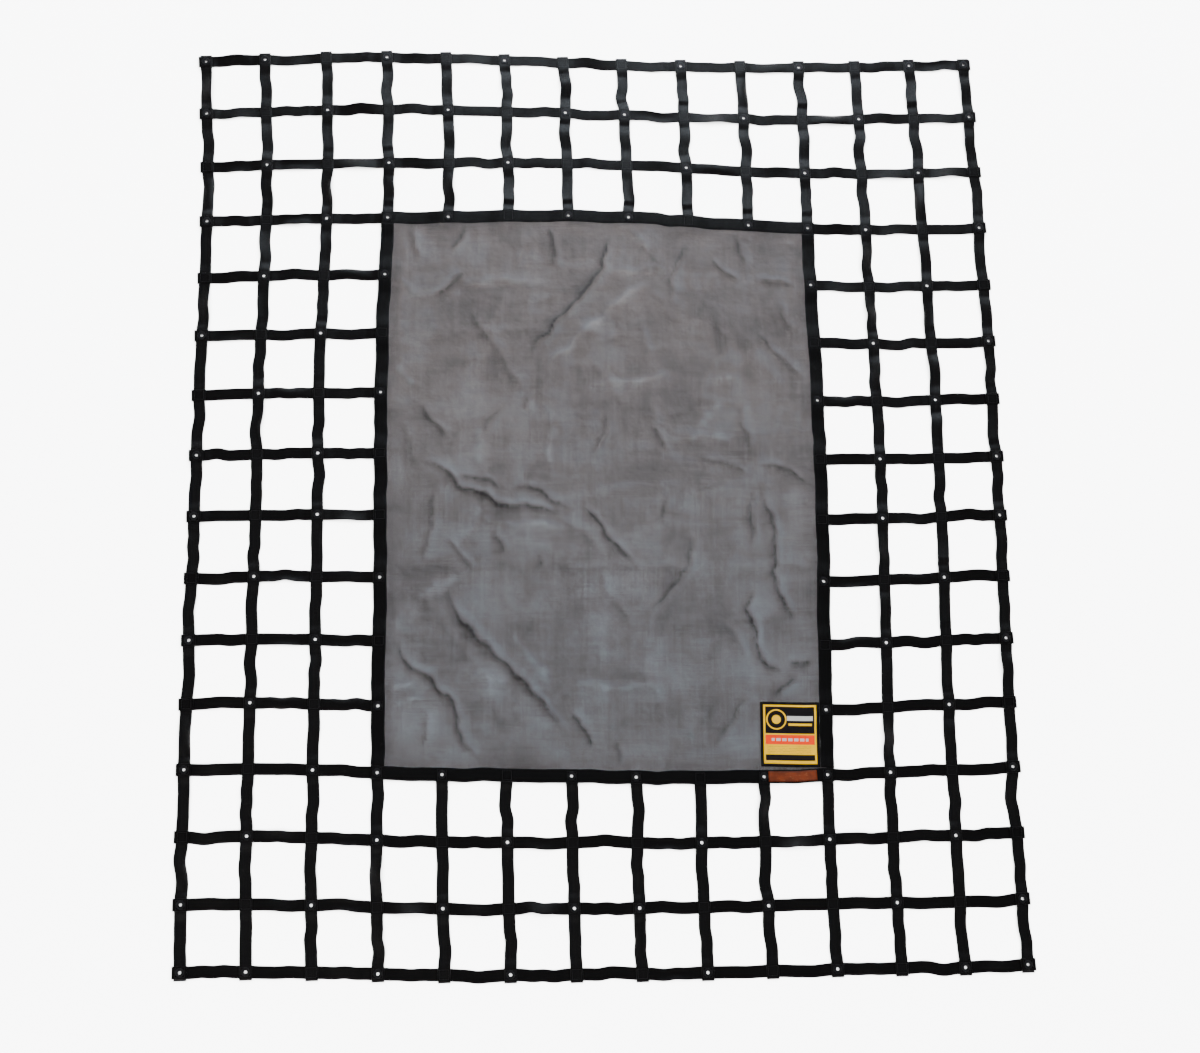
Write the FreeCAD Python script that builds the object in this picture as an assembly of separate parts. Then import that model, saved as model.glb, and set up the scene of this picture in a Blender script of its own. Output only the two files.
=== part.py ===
import FreeCAD, Part
import math
import os

# Cargo net: a sewn grid of flat webbing with a mesh panel let into its middle, laid out flat.
# All sizes are in millimetres. +X runs across the net, +Y along it towards its head, +Z up.
# The origin is the middle of the net's bounding box, on the surface that the net lies on.

# ---- the grid -----------------------------------------------------------------------------
COLUMNS = 14                # lengthwise straps, counted from the left
ROWS = 16                   # crosswise straps, counted from the head
PITCH_X = 132.9             # between neighbouring lengthwise straps
PITCH_Y = 135.5             # between neighbouring crosswise straps
PANEL_LEFT, PANEL_RIGHT = 3, 10     # lengthwise straps at the mesh panel's sides
PANEL_HEAD, PANEL_FOOT = 3, 12      # crosswise straps at the mesh panel's head and foot

# ---- webbing and cloth --------------------------------------------------------------------
WEB_WIDTH = 25.4
WEB_THICK = 1.8
WRAP_GAP = 1.2              # room between a border strap's edge and the end wrapped round it
TUCK = 2.0                  # a strap that ends under the binding stops this far inside its edge
MESH_THICK = 0.6
MESH_MARGIN = 9.0           # mesh that runs past the middle of its border straps
BINDING_WIDTH = 28.6
BINDING_THICK = 1.2

# ---- grommets -----------------------------------------------------------------------------
HOLE_R = 3.95
BARREL_R = 4.6
FLANGE_R = 8.75
FLANGE_THICK = 1.2
RIM_ROUND = 0.5             # rounding on both edges of the flange
WASHER_THICK = 1.0
DRILL_FROM, DRILL_LENGTH = -10.0, 40.0      # the hole cutter reaches past every layer of the net

# ---- stitching ----------------------------------------------------------------------------
THREAD_WIDTH = 0.8
THREAD_HEIGHT = 0.4
BOX_STITCH = 19.6           # outside size of the square sewn at each crossing
SEAM_OFFSET = 12.4          # the binding's two seams, from its middle line
CUT_SLACK = 1.0             # a cutter reaches this far past both faces of what it cuts

# ---- label and tag, placed from the crossing at the panel's right foot corner --------------
LABEL_RIGHT, LABEL_FOOT = -15.0, 15.0
LABEL_WIDTH, LABEL_LENGTH = 123.5, 136.5
LABEL_THICK = 0.8
PRINT_MARGIN = 6.0
PRINT_THICK = 0.4
TAG_MIDDLE_X = -72.0
TAG_LENGTH, TAG_WIDTH = 102.0, 22.0
TAG_THICK = 0.5
LABEL_SEAM_INSET = 2.5
TAG_SEAM_INSET = 2.0

# ---- levels, from the surface up ----------------------------------------------------------
FOLD_UNDER_Z = WASHER_THICK                  # lengthwise ends folded under the end straps
CROSS_Z = FOLD_UNDER_Z + WEB_THICK
LENGTH_Z = CROSS_Z + WEB_THICK
MESH_Z = LENGTH_Z + WEB_THICK
FOLD_OVER_Z = MESH_Z                         # crosswise ends folded over the side straps
BINDING_Z = MESH_Z + MESH_THICK
BINDING_TOP = BINDING_Z + BINDING_THICK
LABEL_Z = BINDING_Z

# ---- how the limp net lies ----------------------------------------------------------------
# Each term is (millimetres, power of u, power of v), where u and v run from -1 to 1 over the
# net, across from the left and along from the foot. The terms add up to a gentle drift.
DRIFT_X = ((10, 0, 1), (-15, 0, 3), (3.5, 1, 0), (-10, 3, 0), (-2.5, 1, 2), (-2, 0, 2))
DRIFT_Y = ((15, 0, 1), (-17.5, 0, 3), (-13, 1, 0), (16.5, 3, 0), (-12, 2, 1), (-4.5, 0, 2))
# Each tug is (u, v, reach, across, along): a spot that was pulled by hand, and how far.
TUGS = (
    (-0.95, 1.0, 0.20, -12, -6),
    (0.00, 1.0, 0.25, 0, -13),
    (0.55, 1.0, 0.20, 9, 0),
    (1.00, 1.0, 0.25, 0, 16),
    (-0.50, 0.75, 0.20, 4, 0),
    (0.00, 0.6, 0.25, 0, 18),
    (-0.65, 0.25, 0.25, -11, 0),
    (0.65, 0.45, 0.25, 0, -5),
    (0.65, 0.0, 0.35, 10, 0),
    (0.85, -0.2, 0.25, 0, 9),
    (-0.90, -0.5, 0.25, 0, 10),
    (0.25, -0.6, 0.25, 0, -7),
    (-0.40, -0.8, 0.25, 0, -8),
    (0.40, -0.8, 0.20, -3, 0),
    (0.50, -1.0, 0.25, 0, 6),
    (1.00, -1.0, 0.20, 0, -8),
)


def crossing(column, row):
    """Middle of a crossing, which may lie between straps when column or row isn't whole."""
    u = 2 * column / (COLUMNS - 1) - 1
    v = 1 - 2 * row / (ROWS - 1)
    x = PITCH_X * (COLUMNS - 1) / 2 * u + sum(mm * u**a * v**b for mm, a, b in DRIFT_X)
    y = PITCH_Y * (ROWS - 1) / 2 * v + sum(mm * u**a * v**b for mm, a, b in DRIFT_Y)
    for at_u, at_v, reach, across, along in TUGS:
        pull = math.exp(-((u - at_u)**2 + (v - at_v)**2) / (2 * reach**2))
        x += across * pull
        y += along * pull
    return FreeCAD.Vector(x, y, 0)


def is_border(column, row):
    return column in (0, COLUMNS - 1) or row in (0, ROWS - 1)


def in_panel(column, row, margin=0):
    """True inside the mesh panel; margin 0 counts its border straps in, 1 leaves them out."""
    return (PANEL_LEFT + margin <= column <= PANEL_RIGHT - margin
            and PANEL_HEAD + margin <= row <= PANEL_FOOT - margin)


def has_grommet(column, row):
    """Grommets sit at every second crossing, counted from the edges, and at all corners."""
    if in_panel(column, row, 1):
        return False
    if column in (0, COLUMNS - 1) and row in (0, ROWS - 1):
        return True
    if column in (PANEL_LEFT, PANEL_RIGHT) and row in (PANEL_HEAD, PANEL_FOOT):
        return True
    steps_in = min(column, COLUMNS - 1 - column) + min(row, ROWS - 1 - row)
    return steps_in % 2 == 1


def stack_bottom(row):
    return FOLD_UNDER_Z if row in (0, ROWS - 1) else CROSS_Z


def stack_top(column, row):
    if in_panel(column, row):
        return BINDING_TOP
    if column in (0, COLUMNS - 1):
        return FOLD_OVER_Z + WEB_THICK
    return MESH_Z


CROSSINGS = [(c, r) for c in range(COLUMNS) for r in range(ROWS) if not in_panel(c, r, 1)]
GROMMETS = [at for at in CROSSINGS if has_grommet(*at)]


# ---- shape helpers ------------------------------------------------------------------------
def direction(start, end):
    return (end - start).normalize()


def left_of(vector):
    return FreeCAD.Vector(-vector.y, vector.x, 0)


def side_points(path, offset):
    """The path's points moved sideways, mitred where the path turns."""
    points = []
    for k, point in enumerate(path):
        before = direction(path[max(k - 1, 0)], path[max(k, 1)])
        after = direction(path[min(k, len(path) - 2)], path[min(k + 1, len(path) - 1)])
        normal = (left_of(before) + left_of(after)).normalize()
        points.append(point + normal * (offset / normal.dot(left_of(before))))
    return points


def slab(outline, bottom, thick):
    """A flat piece: a closed outline of points, raised from bottom by thick."""
    raised = [FreeCAD.Vector(p.x, p.y, bottom) for p in outline]
    wire = Part.makePolygon(raised + raised[:1])
    return Part.Face(wire).extrude(FreeCAD.Vector(0, 0, thick))


def ribbon(path, width, bottom, thick):
    """A flat strip that follows a path of points, width wide."""
    outline = side_points(path, width / 2) + side_points(path, -width / 2)[::-1]
    return slab(outline, bottom, thick)


def barrel_hole(column, row):
    centre = crossing(column, row)
    base = FreeCAD.Vector(centre.x, centre.y, DRILL_FROM)
    return Part.makeCylinder(BARREL_R, DRILL_LENGTH, base)


def punched(shape, crossings):
    """The shape with a hole through it for each grommet among the crossings."""
    holes = [barrel_hole(*at) for at in crossings if has_grommet(*at)]
    return shape.cut(Part.makeCompound(holes)) if holes else shape


def rectangle(centre, along, length, width):
    """Corners of a rectangle about centre, with its length in the given direction."""
    half_l = along * (length / 2)
    half_w = left_of(along) * (width / 2)
    return [centre + half_l + half_w, centre - half_l + half_w,
            centre - half_l - half_w, centre + half_l - half_w]


def thread_loop(outer, inner, bottom):
    """A closed line of stitching between two outlines."""
    middle_cut = slab(inner, bottom - CUT_SLACK, THREAD_HEIGHT + 2 * CUT_SLACK)
    return slab(outer, bottom, THREAD_HEIGHT).cut(middle_cut)


def thread_frame(centre, along, length, width, bottom):
    inner = (length - 2 * THREAD_WIDTH, width - 2 * THREAD_WIDTH)
    return thread_loop(rectangle(centre, along, length, width),
                       rectangle(centre, along, *inner), bottom)


# ---- straps -------------------------------------------------------------------------------
def wrapped_end(centre, outward, body_z, tail_z):
    """The end of a strap: down or up past the border strap's edge, then back along it."""
    near = WEB_WIDTH / 2 + WRAP_GAP
    far = near + WEB_THICK
    low = min(body_z, tail_z)
    leg = ribbon([centre + outward * near, centre + outward * far],
                 WEB_WIDTH, low, abs(body_z - tail_z) + WEB_THICK)
    tail = ribbon([centre - outward * near, centre + outward * far], WEB_WIDTH, tail_z, WEB_THICK)
    return [leg, tail]


def strap(crossings, body_z, tail_z):
    """One strap through a row of crossings, wrapped round the border straps that it ends on."""
    path = [crossing(*at) for at in crossings]
    folds = []
    for end, beside in ((0, 1), (-1, -2)):
        outward = direction(path[beside], path[end])
        centre = path[end]
        if is_border(*crossings[end]):
            folds += wrapped_end(centre, outward, body_z, tail_z)
            reach = WEB_WIDTH / 2 + WRAP_GAP + WEB_THICK
        else:
            reach = WEB_WIDTH / 2 - TUCK
        path[end] = centre + outward * reach
    body = ribbon(path, WEB_WIDTH, body_z, WEB_THICK)
    whole = body.fuse(folds).removeSplitter() if folds else body
    return punched(whole, crossings)


def lengthwise_strap(column, rows):
    return strap([(column, row) for row in rows], LENGTH_Z, FOLD_UNDER_Z)


def cross_strap(row, columns):
    return strap([(column, row) for column in columns], CROSS_Z, FOLD_OVER_Z)


def all_straps():
    """Every strap by name: whole ones outside the panel, and a pair of short ones beside it."""
    straps = {}
    for column in range(COLUMNS):
        name = f"lengthwise_strap_{column + 1:02d}"
        if PANEL_LEFT < column < PANEL_RIGHT:
            straps[name + "_head"] = lengthwise_strap(column, range(PANEL_HEAD + 1))
            straps[name + "_foot"] = lengthwise_strap(column, range(PANEL_FOOT, ROWS))
        else:
            straps[name] = lengthwise_strap(column, range(ROWS))
    for row in range(ROWS):
        name = f"cross_strap_{row + 1:02d}"
        if PANEL_HEAD < row < PANEL_FOOT:
            straps[name + "_left"] = cross_strap(row, range(PANEL_LEFT + 1))
            straps[name + "_right"] = cross_strap(row, range(PANEL_RIGHT, COLUMNS))
        else:
            straps[name] = cross_strap(row, range(COLUMNS))
    return straps


# ---- mesh panel and its binding -----------------------------------------------------------
PANEL_SIDES = {
    "head": [(c, PANEL_HEAD) for c in range(PANEL_LEFT, PANEL_RIGHT + 1)],
    "right": [(PANEL_RIGHT, r) for r in range(PANEL_HEAD, PANEL_FOOT + 1)],
    "foot": [(c, PANEL_FOOT) for c in range(PANEL_RIGHT, PANEL_LEFT - 1, -1)],
    "left": [(PANEL_LEFT, r) for r in range(PANEL_FOOT, PANEL_HEAD - 1, -1)],
}
PANEL_RING = [at for side in PANEL_SIDES.values() for at in side[:-1]]


def mesh_panel():
    """One sheet of mesh whose edge runs just past the middle of the straps round it."""
    ring = [crossing(*at) for at in PANEL_RING]
    closed = [ring[-1]] + ring + [ring[0]]
    outline = side_points(closed, MESH_MARGIN)[1:-1]
    return punched(slab(outline, MESH_Z, MESH_THICK), PANEL_RING)


def binding_path(side):
    """Middle line of a binding tape. Head and foot tapes run over the side straps' full width,
    and the side tapes butt against them."""
    path = [crossing(*at) for at in PANEL_SIDES[side]]
    reach = BINDING_WIDTH / 2
    if side in ("left", "right"):
        reach = -reach
    path[0] += direction(path[1], path[0]) * reach
    path[-1] += direction(path[-2], path[-1]) * reach
    return path


def side_binding_trimmed(tape, name):
    """Side tapes give way to the head and foot tapes where the net lies a little askew."""
    if name in ("left", "right"):
        for end in ("head", "foot"):
            tape = tape.cut(ribbon(binding_path(end), BINDING_WIDTH, BINDING_Z, BINDING_THICK))
    return tape


def binding(side):
    tape = ribbon(binding_path(side), BINDING_WIDTH, BINDING_Z, BINDING_THICK)
    return punched(side_binding_trimmed(tape, side), PANEL_SIDES[side])


def panel_seams():
    """Two lines of stitching along each binding tape, near its edges."""
    lines = []
    short_of_end = BINDING_WIDTH / 2 - SEAM_OFFSET + THREAD_WIDTH
    for side in PANEL_SIDES:
        path = binding_path(side)
        path[0] += direction(path[0], path[1]) * short_of_end
        path[-1] += direction(path[-1], path[-2]) * short_of_end
        for offset in (SEAM_OFFSET, -SEAM_OFFSET):
            lines.append(ribbon(side_points(path, offset), THREAD_WIDTH,
                                BINDING_TOP, THREAD_HEIGHT))
    return Part.makeCompound(lines)


# ---- grommets -----------------------------------------------------------------------------
def eyelet(column, row):
    """The upper half of a grommet: a flange on the webbing and a barrel through it."""
    low = stack_bottom(row) - WASHER_THICK
    top = stack_top(column, row)
    rim = top + FLANGE_THICK
    bend = RIM_ROUND
    tip = bend * math.sqrt(0.5)
    corners = [(HOLE_R, low), (BARREL_R, low), (BARREL_R, top), (FLANGE_R, top),
               (FLANGE_R, rim - bend), (FLANGE_R - bend, rim),
               (HOLE_R + bend, rim), (HOLE_R, rim - bend)]
    points = [FreeCAD.Vector(r, 0, z) for r, z in corners]
    outer_mid = FreeCAD.Vector(FLANGE_R - bend + tip, 0, rim - bend + tip)
    inner_mid = FreeCAD.Vector(HOLE_R + bend - tip, 0, rim - bend + tip)
    edges = [Part.LineSegment(points[k], points[k + 1]).toShape() for k in range(4)]
    edges.append(Part.Arc(points[4], outer_mid, points[5]).toShape())
    edges.append(Part.LineSegment(points[5], points[6]).toShape())
    edges.append(Part.Arc(points[6], inner_mid, points[7]).toShape())
    edges.append(Part.LineSegment(points[7], points[0]).toShape())
    profile = Part.Face(Part.Wire(edges))
    solid = profile.revolve(FreeCAD.Vector(0, 0, 0), FreeCAD.Vector(0, 0, 1), 360)
    return solid.translated(crossing(column, row))


def washer(column, row):
    """The lower half of a grommet: a flat ring under the webbing, round the barrel's end."""
    centre = crossing(column, row)
    base = FreeCAD.Vector(centre.x, centre.y, stack_bottom(row) - WASHER_THICK)
    disc = Part.makeCylinder(FLANGE_R, WASHER_THICK, base)
    return disc.cut(barrel_hole(column, row))


def crossing_box_stitch(column, row):
    """A square of stitching on top of a crossing, turned with the lengthwise strap."""
    above = crossing(column, max(row - 1, 0))
    below = crossing(column, min(row + 1, ROWS - 1))
    return thread_frame(crossing(column, row), direction(below, above),
                        BOX_STITCH, BOX_STITCH, stack_top(column, row))


# ---- label and tag ------------------------------------------------------------------------
def label_place():
    """Middle of the sewn label, and the direction of its length."""
    corner = crossing(PANEL_RIGHT, PANEL_FOOT)
    along = direction(corner, crossing(PANEL_RIGHT, PANEL_FOOT - 1))
    across = left_of(along) * -1
    middle = corner + across * (LABEL_RIGHT - LABEL_WIDTH / 2)
    middle += along * (LABEL_FOOT + LABEL_LENGTH / 2)
    return middle, along


def label_parts():
    middle, along = label_place()
    parts = {}
    backing = slab(rectangle(middle, along, LABEL_LENGTH, LABEL_WIDTH), LABEL_Z, LABEL_THICK)
    for side in ("right", "foot"):
        backing = backing.cut(ribbon(binding_path(side), BINDING_WIDTH, LABEL_Z, LABEL_THICK))
    parts["label_backing"] = backing
    length = LABEL_LENGTH - 2 * PRINT_MARGIN
    width = LABEL_WIDTH - 2 * PRINT_MARGIN
    parts["label_face"] = slab(rectangle(middle, along, length, width),
                               LABEL_Z + LABEL_THICK, PRINT_THICK)
    inset = 2 * LABEL_SEAM_INSET
    parts["label_stitching"] = thread_frame(middle, along, LABEL_LENGTH - inset,
                                            LABEL_WIDTH - inset, LABEL_Z + LABEL_THICK)
    return parts


def tag_parts():
    """The load tag: a narrow coated strip sewn on the foot binding, below the label."""
    left = crossing(PANEL_RIGHT - 1, PANEL_FOOT)
    right = crossing(PANEL_RIGHT, PANEL_FOOT)
    along = direction(left, right)
    middle = right + along * TAG_MIDDLE_X
    tag = slab(rectangle(middle, along, TAG_LENGTH, TAG_WIDTH), BINDING_TOP, TAG_THICK)
    inset = 2 * TAG_SEAM_INSET
    seam = thread_frame(middle, along, TAG_LENGTH - inset, TAG_WIDTH - inset,
                        BINDING_TOP + TAG_THICK)
    return {"load_tag": tag, "load_tag_stitching": seam}


# ---- the whole net ------------------------------------------------------------------------
def build():
    parts = all_straps()
    parts["mesh_panel"] = mesh_panel()
    for side in PANEL_SIDES:
        parts[f"panel_binding_{side}"] = binding(side)
    parts["panel_seam_stitching"] = panel_seams()
    parts["crossing_stitching"] = Part.makeCompound([crossing_box_stitch(*at) for at in CROSSINGS])
    parts["grommet_eyelets"] = Part.makeCompound([eyelet(*at) for at in GROMMETS])
    parts["grommet_washers"] = Part.makeCompound([washer(*at) for at in GROMMETS])
    parts.update(label_parts())
    parts.update(tag_parts())
    return parts


def centred(parts):
    """Moves every part so that the origin is the middle of the net's bounding box."""
    box = Part.makeCompound(list(parts.values())).BoundBox
    shift = FreeCAD.Vector(-box.Center.x, -box.Center.y, -box.ZMin)
    return {name: shape.translated(shift) for name, shape in parts.items()}, shift


PARTS, SHIFT = centred(build())
os.makedirs("parts", exist_ok=True)
for node, shape in PARTS.items():
    shape.exportStep(f"parts/{node}.step")
print(len(PARTS), "nodes; overall box", Part.makeCompound(list(PARTS.values())).BoundBox)
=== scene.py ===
import math

import bmesh
import bpy
import numpy as np
from bpy.props import FloatProperty, FloatVectorProperty, IntProperty, PointerProperty
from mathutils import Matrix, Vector


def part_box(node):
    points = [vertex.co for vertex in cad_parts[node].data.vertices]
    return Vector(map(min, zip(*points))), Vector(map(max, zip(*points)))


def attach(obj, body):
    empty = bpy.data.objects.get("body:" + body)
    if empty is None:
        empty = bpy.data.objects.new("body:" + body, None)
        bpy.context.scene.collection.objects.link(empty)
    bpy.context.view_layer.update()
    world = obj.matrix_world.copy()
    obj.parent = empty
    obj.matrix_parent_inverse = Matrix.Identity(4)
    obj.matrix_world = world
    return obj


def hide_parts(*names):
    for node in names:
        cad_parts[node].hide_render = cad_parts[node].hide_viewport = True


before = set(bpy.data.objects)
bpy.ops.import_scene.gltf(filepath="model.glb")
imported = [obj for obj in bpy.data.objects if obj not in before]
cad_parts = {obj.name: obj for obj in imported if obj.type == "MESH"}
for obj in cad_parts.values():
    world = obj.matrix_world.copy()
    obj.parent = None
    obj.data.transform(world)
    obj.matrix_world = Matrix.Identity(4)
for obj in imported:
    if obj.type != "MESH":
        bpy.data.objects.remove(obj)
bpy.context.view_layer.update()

bl_info = {
    "name": "Cargo climbing net",
    "version": (1, 0, 0),
    "blender": (4, 5, 0),
    "location": "3D View > Sidebar > Net",
    "description": "Builds a webbing cargo net with a mesh panel, eyelets, label and load tag",
    "category": "Object",
}

# ---- the net's layout, as the frame has it ----------------------------------------------
COLUMNS, ROWS = 14, 16
PANEL_LEFT, PANEL_RIGHT, PANEL_HEAD, PANEL_FOOT = 3, 10, 3, 12
PITCH = np.array([0.133, 0.1355])   # usual distance between crossings, across and along
WEB_WIDTH, WEB_THICK = 0.0254, 0.0018
CROSS_Z, LENGTH_Z = 0.0037, 0.0055  # middle heights of crosswise and lengthwise straps
MESH_THICK, MESH_MARGIN = 0.0006, 0.009
BINDING_WIDTH, BINDING_THICK = 0.0286, 0.0012
WRAP_REACH, WRAP_R, WRAP_END = 0.0139, 0.0018, 0.0142
STITCH_BOX_HALF, STITCH_LINE_HALF, SEAM_OFFSET = 0.0098, 0.0094, 0.0124
HOLE_R, FLANGE_R, BARREL_R = 0.0033, 0.00875, 0.0046
CUT_R = 0.0049                      # hole in cloth and webbing under an eyelet
LABEL_WIDTH, LABEL_LENGTH, PRINT_WIDTH, PRINT_LENGTH = 0.1235, 0.1365, 0.1115, 0.1245
TAG_LENGTH, TAG_WIDTH = 0.102, 0.022
UP = np.array([0.0, 0.0, 1.0])

# ---- how finely the pieces are sampled --------------------------------------------------
STEPS = 40                          # samples of a strap between two crossings
PANEL_STEPS = 27                    # samples of the panel between two crossings
FACE_POINTS = 7                     # points of a tape's section on each face
WRAP_STEPS = np.array([0.00335, 0.0067, 0.0103])
END_STEPS = np.array([0.00335, 0.0067, 0.0105])
TURNED_SEGMENTS = 28                # round an eyelet or washer
BOX_STITCHES = 6                    # stitches on one side of a crossing's square
# The eight points round a hole's middle point, and the way that each lies.
ROUND_ROWS = np.array([-1, -1, -1, 0, 1, 1, 1, 0])
ROUND_LANES = np.array([-1, 0, 1, 1, 1, 0, -1, -1])
ROUND_TURN = np.arctan2(ROUND_ROWS, ROUND_LANES)

# ---- how a strap lies between two crossings, in metres ----------------------------------
FLAT_HALF = 0.0128                  # flat stretch each side of a crossing
SEWN_DROP, LOOSE_DROP = 0.036, 0.026
SEWN_GROUND, LOOSE_GROUND = 0.0021, WEB_THICK / 2 + 0.0003
ARCH_START = 0.028
LATE_CREST = 0.86                   # where a late arch is highest, as a share of it
LEAST_TAPE_Z, LEAST_MESH_Z = 0.0003, 0.0002

# ---- how the mesh lies, in metres -------------------------------------------------------
MESH_OVER_STRAP, BINDING_OVER_MESH = 0.0012, 0.0009
MESH_REST, MESH_LEAST, MESH_CEILING = 0.0024, 0.0015, 0.0165
FOLD_REACH = 0.05                   # a fold ends this far from its line
BORDER_HALF, BORDER_FADE = 0.0135, 0.034
LABEL_HALF, LABEL_FADE = (0.069, 0.0625), 0.022

BRIGHT = []                         # the printed pieces, which have a light of their own


# ---- small shared shapes ----------------------------------------------------------------
def smooth(t):
    """Smooth step: 0 below 0, 1 above 1, and 3t squared minus 2t cubed between."""
    t = np.clip(t, 0, 1)
    return t * t * (3 - 2 * t)


def unit(vectors):
    """Vectors of length one in the same directions."""
    return vectors / np.maximum(np.linalg.norm(vectors, axis=-1, keepdims=True), 1e-12)


def places(name, half):
    """The box of each of a node's like solids, by column and row, NaN where there is none.
    A point belongs to the nearest place of an even grid stretched over the node's own box."""
    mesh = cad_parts[name].data
    flat = np.empty(len(mesh.vertices) * 3, np.float32)
    mesh.vertices.foreach_get("co", flat)
    points = flat.reshape(-1, 3).astype(float)
    low, high = points.min(0), points.max(0)
    pitch = (high - low - 2 * half)[:2] / (COLUMNS - 1, ROWS - 1)
    column = np.rint((points[:, 0] - low[0] - half) / pitch[0]).astype(int)
    row = np.rint((high[1] - half - points[:, 1]) / pitch[1]).astype(int)
    lows = np.full((COLUMNS, ROWS, 3), np.inf)
    highs = np.full((COLUMNS, ROWS, 3), -np.inf)
    np.minimum.at(lows, (column, row), points)
    np.maximum.at(highs, (column, row), points)
    lows[~np.isfinite(lows)] = np.nan
    highs[~np.isfinite(highs)] = np.nan
    return lows, highs


STITCH_LOW, STITCH_HIGH = places("crossing_stitching", STITCH_BOX_HALF)
CROSSING = (STITCH_LOW + STITCH_HIGH)[..., :2] / 2
EYELET_LOW, EYELET_HIGH = places("grommet_eyelets", FLANGE_R)
HAS_EYELET = np.isfinite(EYELET_LOW[..., 0])
COLUMN, ROW = np.meshgrid(np.arange(COLUMNS), np.arange(ROWS), indexing="ij")
IN_PANEL = ((COLUMN >= PANEL_LEFT) & (COLUMN <= PANEL_RIGHT)
            & (ROW >= PANEL_HEAD) & (ROW <= PANEL_FOOT))
AT_ENDS = (ROW == 0) | (ROW == ROWS - 1)
# A crossing without an eyelet has no washer under it, so it settles nearer the ground.
SETTLE = np.where(IN_PANEL | HAS_EYELET, 0.0, np.where(AT_ENDS, 0.0008, 0.0024))


def signed_volume(vertices, quads):
    """Volume of a closed mesh, as the sum over its faces of two tetrahedra from the origin. It
    is negative where the faces point inwards."""
    a, b, c, d = (vertices[quads[:, k]] for k in range(4))
    return float((np.einsum("ij,ij->i", a, np.cross(b, c))
                  + np.einsum("ij,ij->i", a, np.cross(c, d))).sum() / 6)


def outward(vertices, faces):
    """The faces, all reversed if the closed mesh is inside out."""
    return faces[:, ::-1] if signed_volume(vertices, faces) < 0 else faces


def compact(vertices, faces, *extras):
    """Drops the points that no face uses."""
    used = np.unique(faces)
    renumber = np.full(len(vertices), -1)
    renumber[used] = np.arange(len(used))
    return (vertices[used], renumber[faces]) + tuple(extra[used] for extra in extras)


def repeated(shape_points, quads, copies):
    """Faces of the given number of copies of one shape, whose points follow one another."""
    step = len(shape_points) * np.arange(copies)[:, None, None]
    return (quads[None] + step).reshape(-1, 4)


def consistent(vertices, faces):
    """Faces all turned outwards, by the mesh's own recalculation."""
    mesh = bpy.data.meshes.new("turning")
    mesh.from_pydata(vertices.tolist(), [], faces.tolist())
    made = bmesh.new()
    made.from_mesh(mesh)
    bmesh.ops.recalc_face_normals(made, faces=made.faces)
    if made.calc_volume(signed=True) < 0:
        bmesh.ops.reverse_faces(made, faces=made.faces)
    turned = np.array([[corner.index for corner in face.verts] for face in made.faces])
    made.free()
    bpy.data.meshes.remove(mesh)
    return turned


def add_piece(name, vertices, faces, uv, material, node, slot, attributes=None, turn=True):
    """A piece of four-sided faces that rides on the net and stands for one CAD node, with
    its UVs and attributes given for each point."""
    if turn:
        faces = consistent(vertices, faces)
    loops = faces.reshape(-1)
    mesh = bpy.data.meshes.new(name)
    mesh.vertices.add(len(vertices))
    mesh.vertices.foreach_set("co", np.asarray(vertices, np.float32).reshape(-1))
    mesh.loops.add(len(loops))
    mesh.loops.foreach_set("vertex_index", loops.astype(np.int32))
    mesh.polygons.add(len(faces))
    mesh.polygons.foreach_set("loop_start", np.arange(0, len(loops), 4, dtype=np.int32))
    mesh.polygons.foreach_set("use_smooth", np.full(len(faces), True))
    if uv is not None:
        layer = mesh.uv_layers.new(name="cloth")
        layer.data.foreach_set("uv", np.asarray(uv, np.float32)[loops].reshape(-1))
    for key, values in (attributes or {}).items():
        mesh.attributes.new(key, "FLOAT", "POINT").data.foreach_set(
            "value", np.asarray(values, np.float32))
    mesh.update(calc_edges=True)
    mesh.validate()
    piece = bpy.data.objects.new(name, mesh)
    bpy.context.scene.collection.objects.link(piece)
    mesh.materials.append(material)
    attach(piece, "root")
    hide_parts(node)
    return piece


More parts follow.
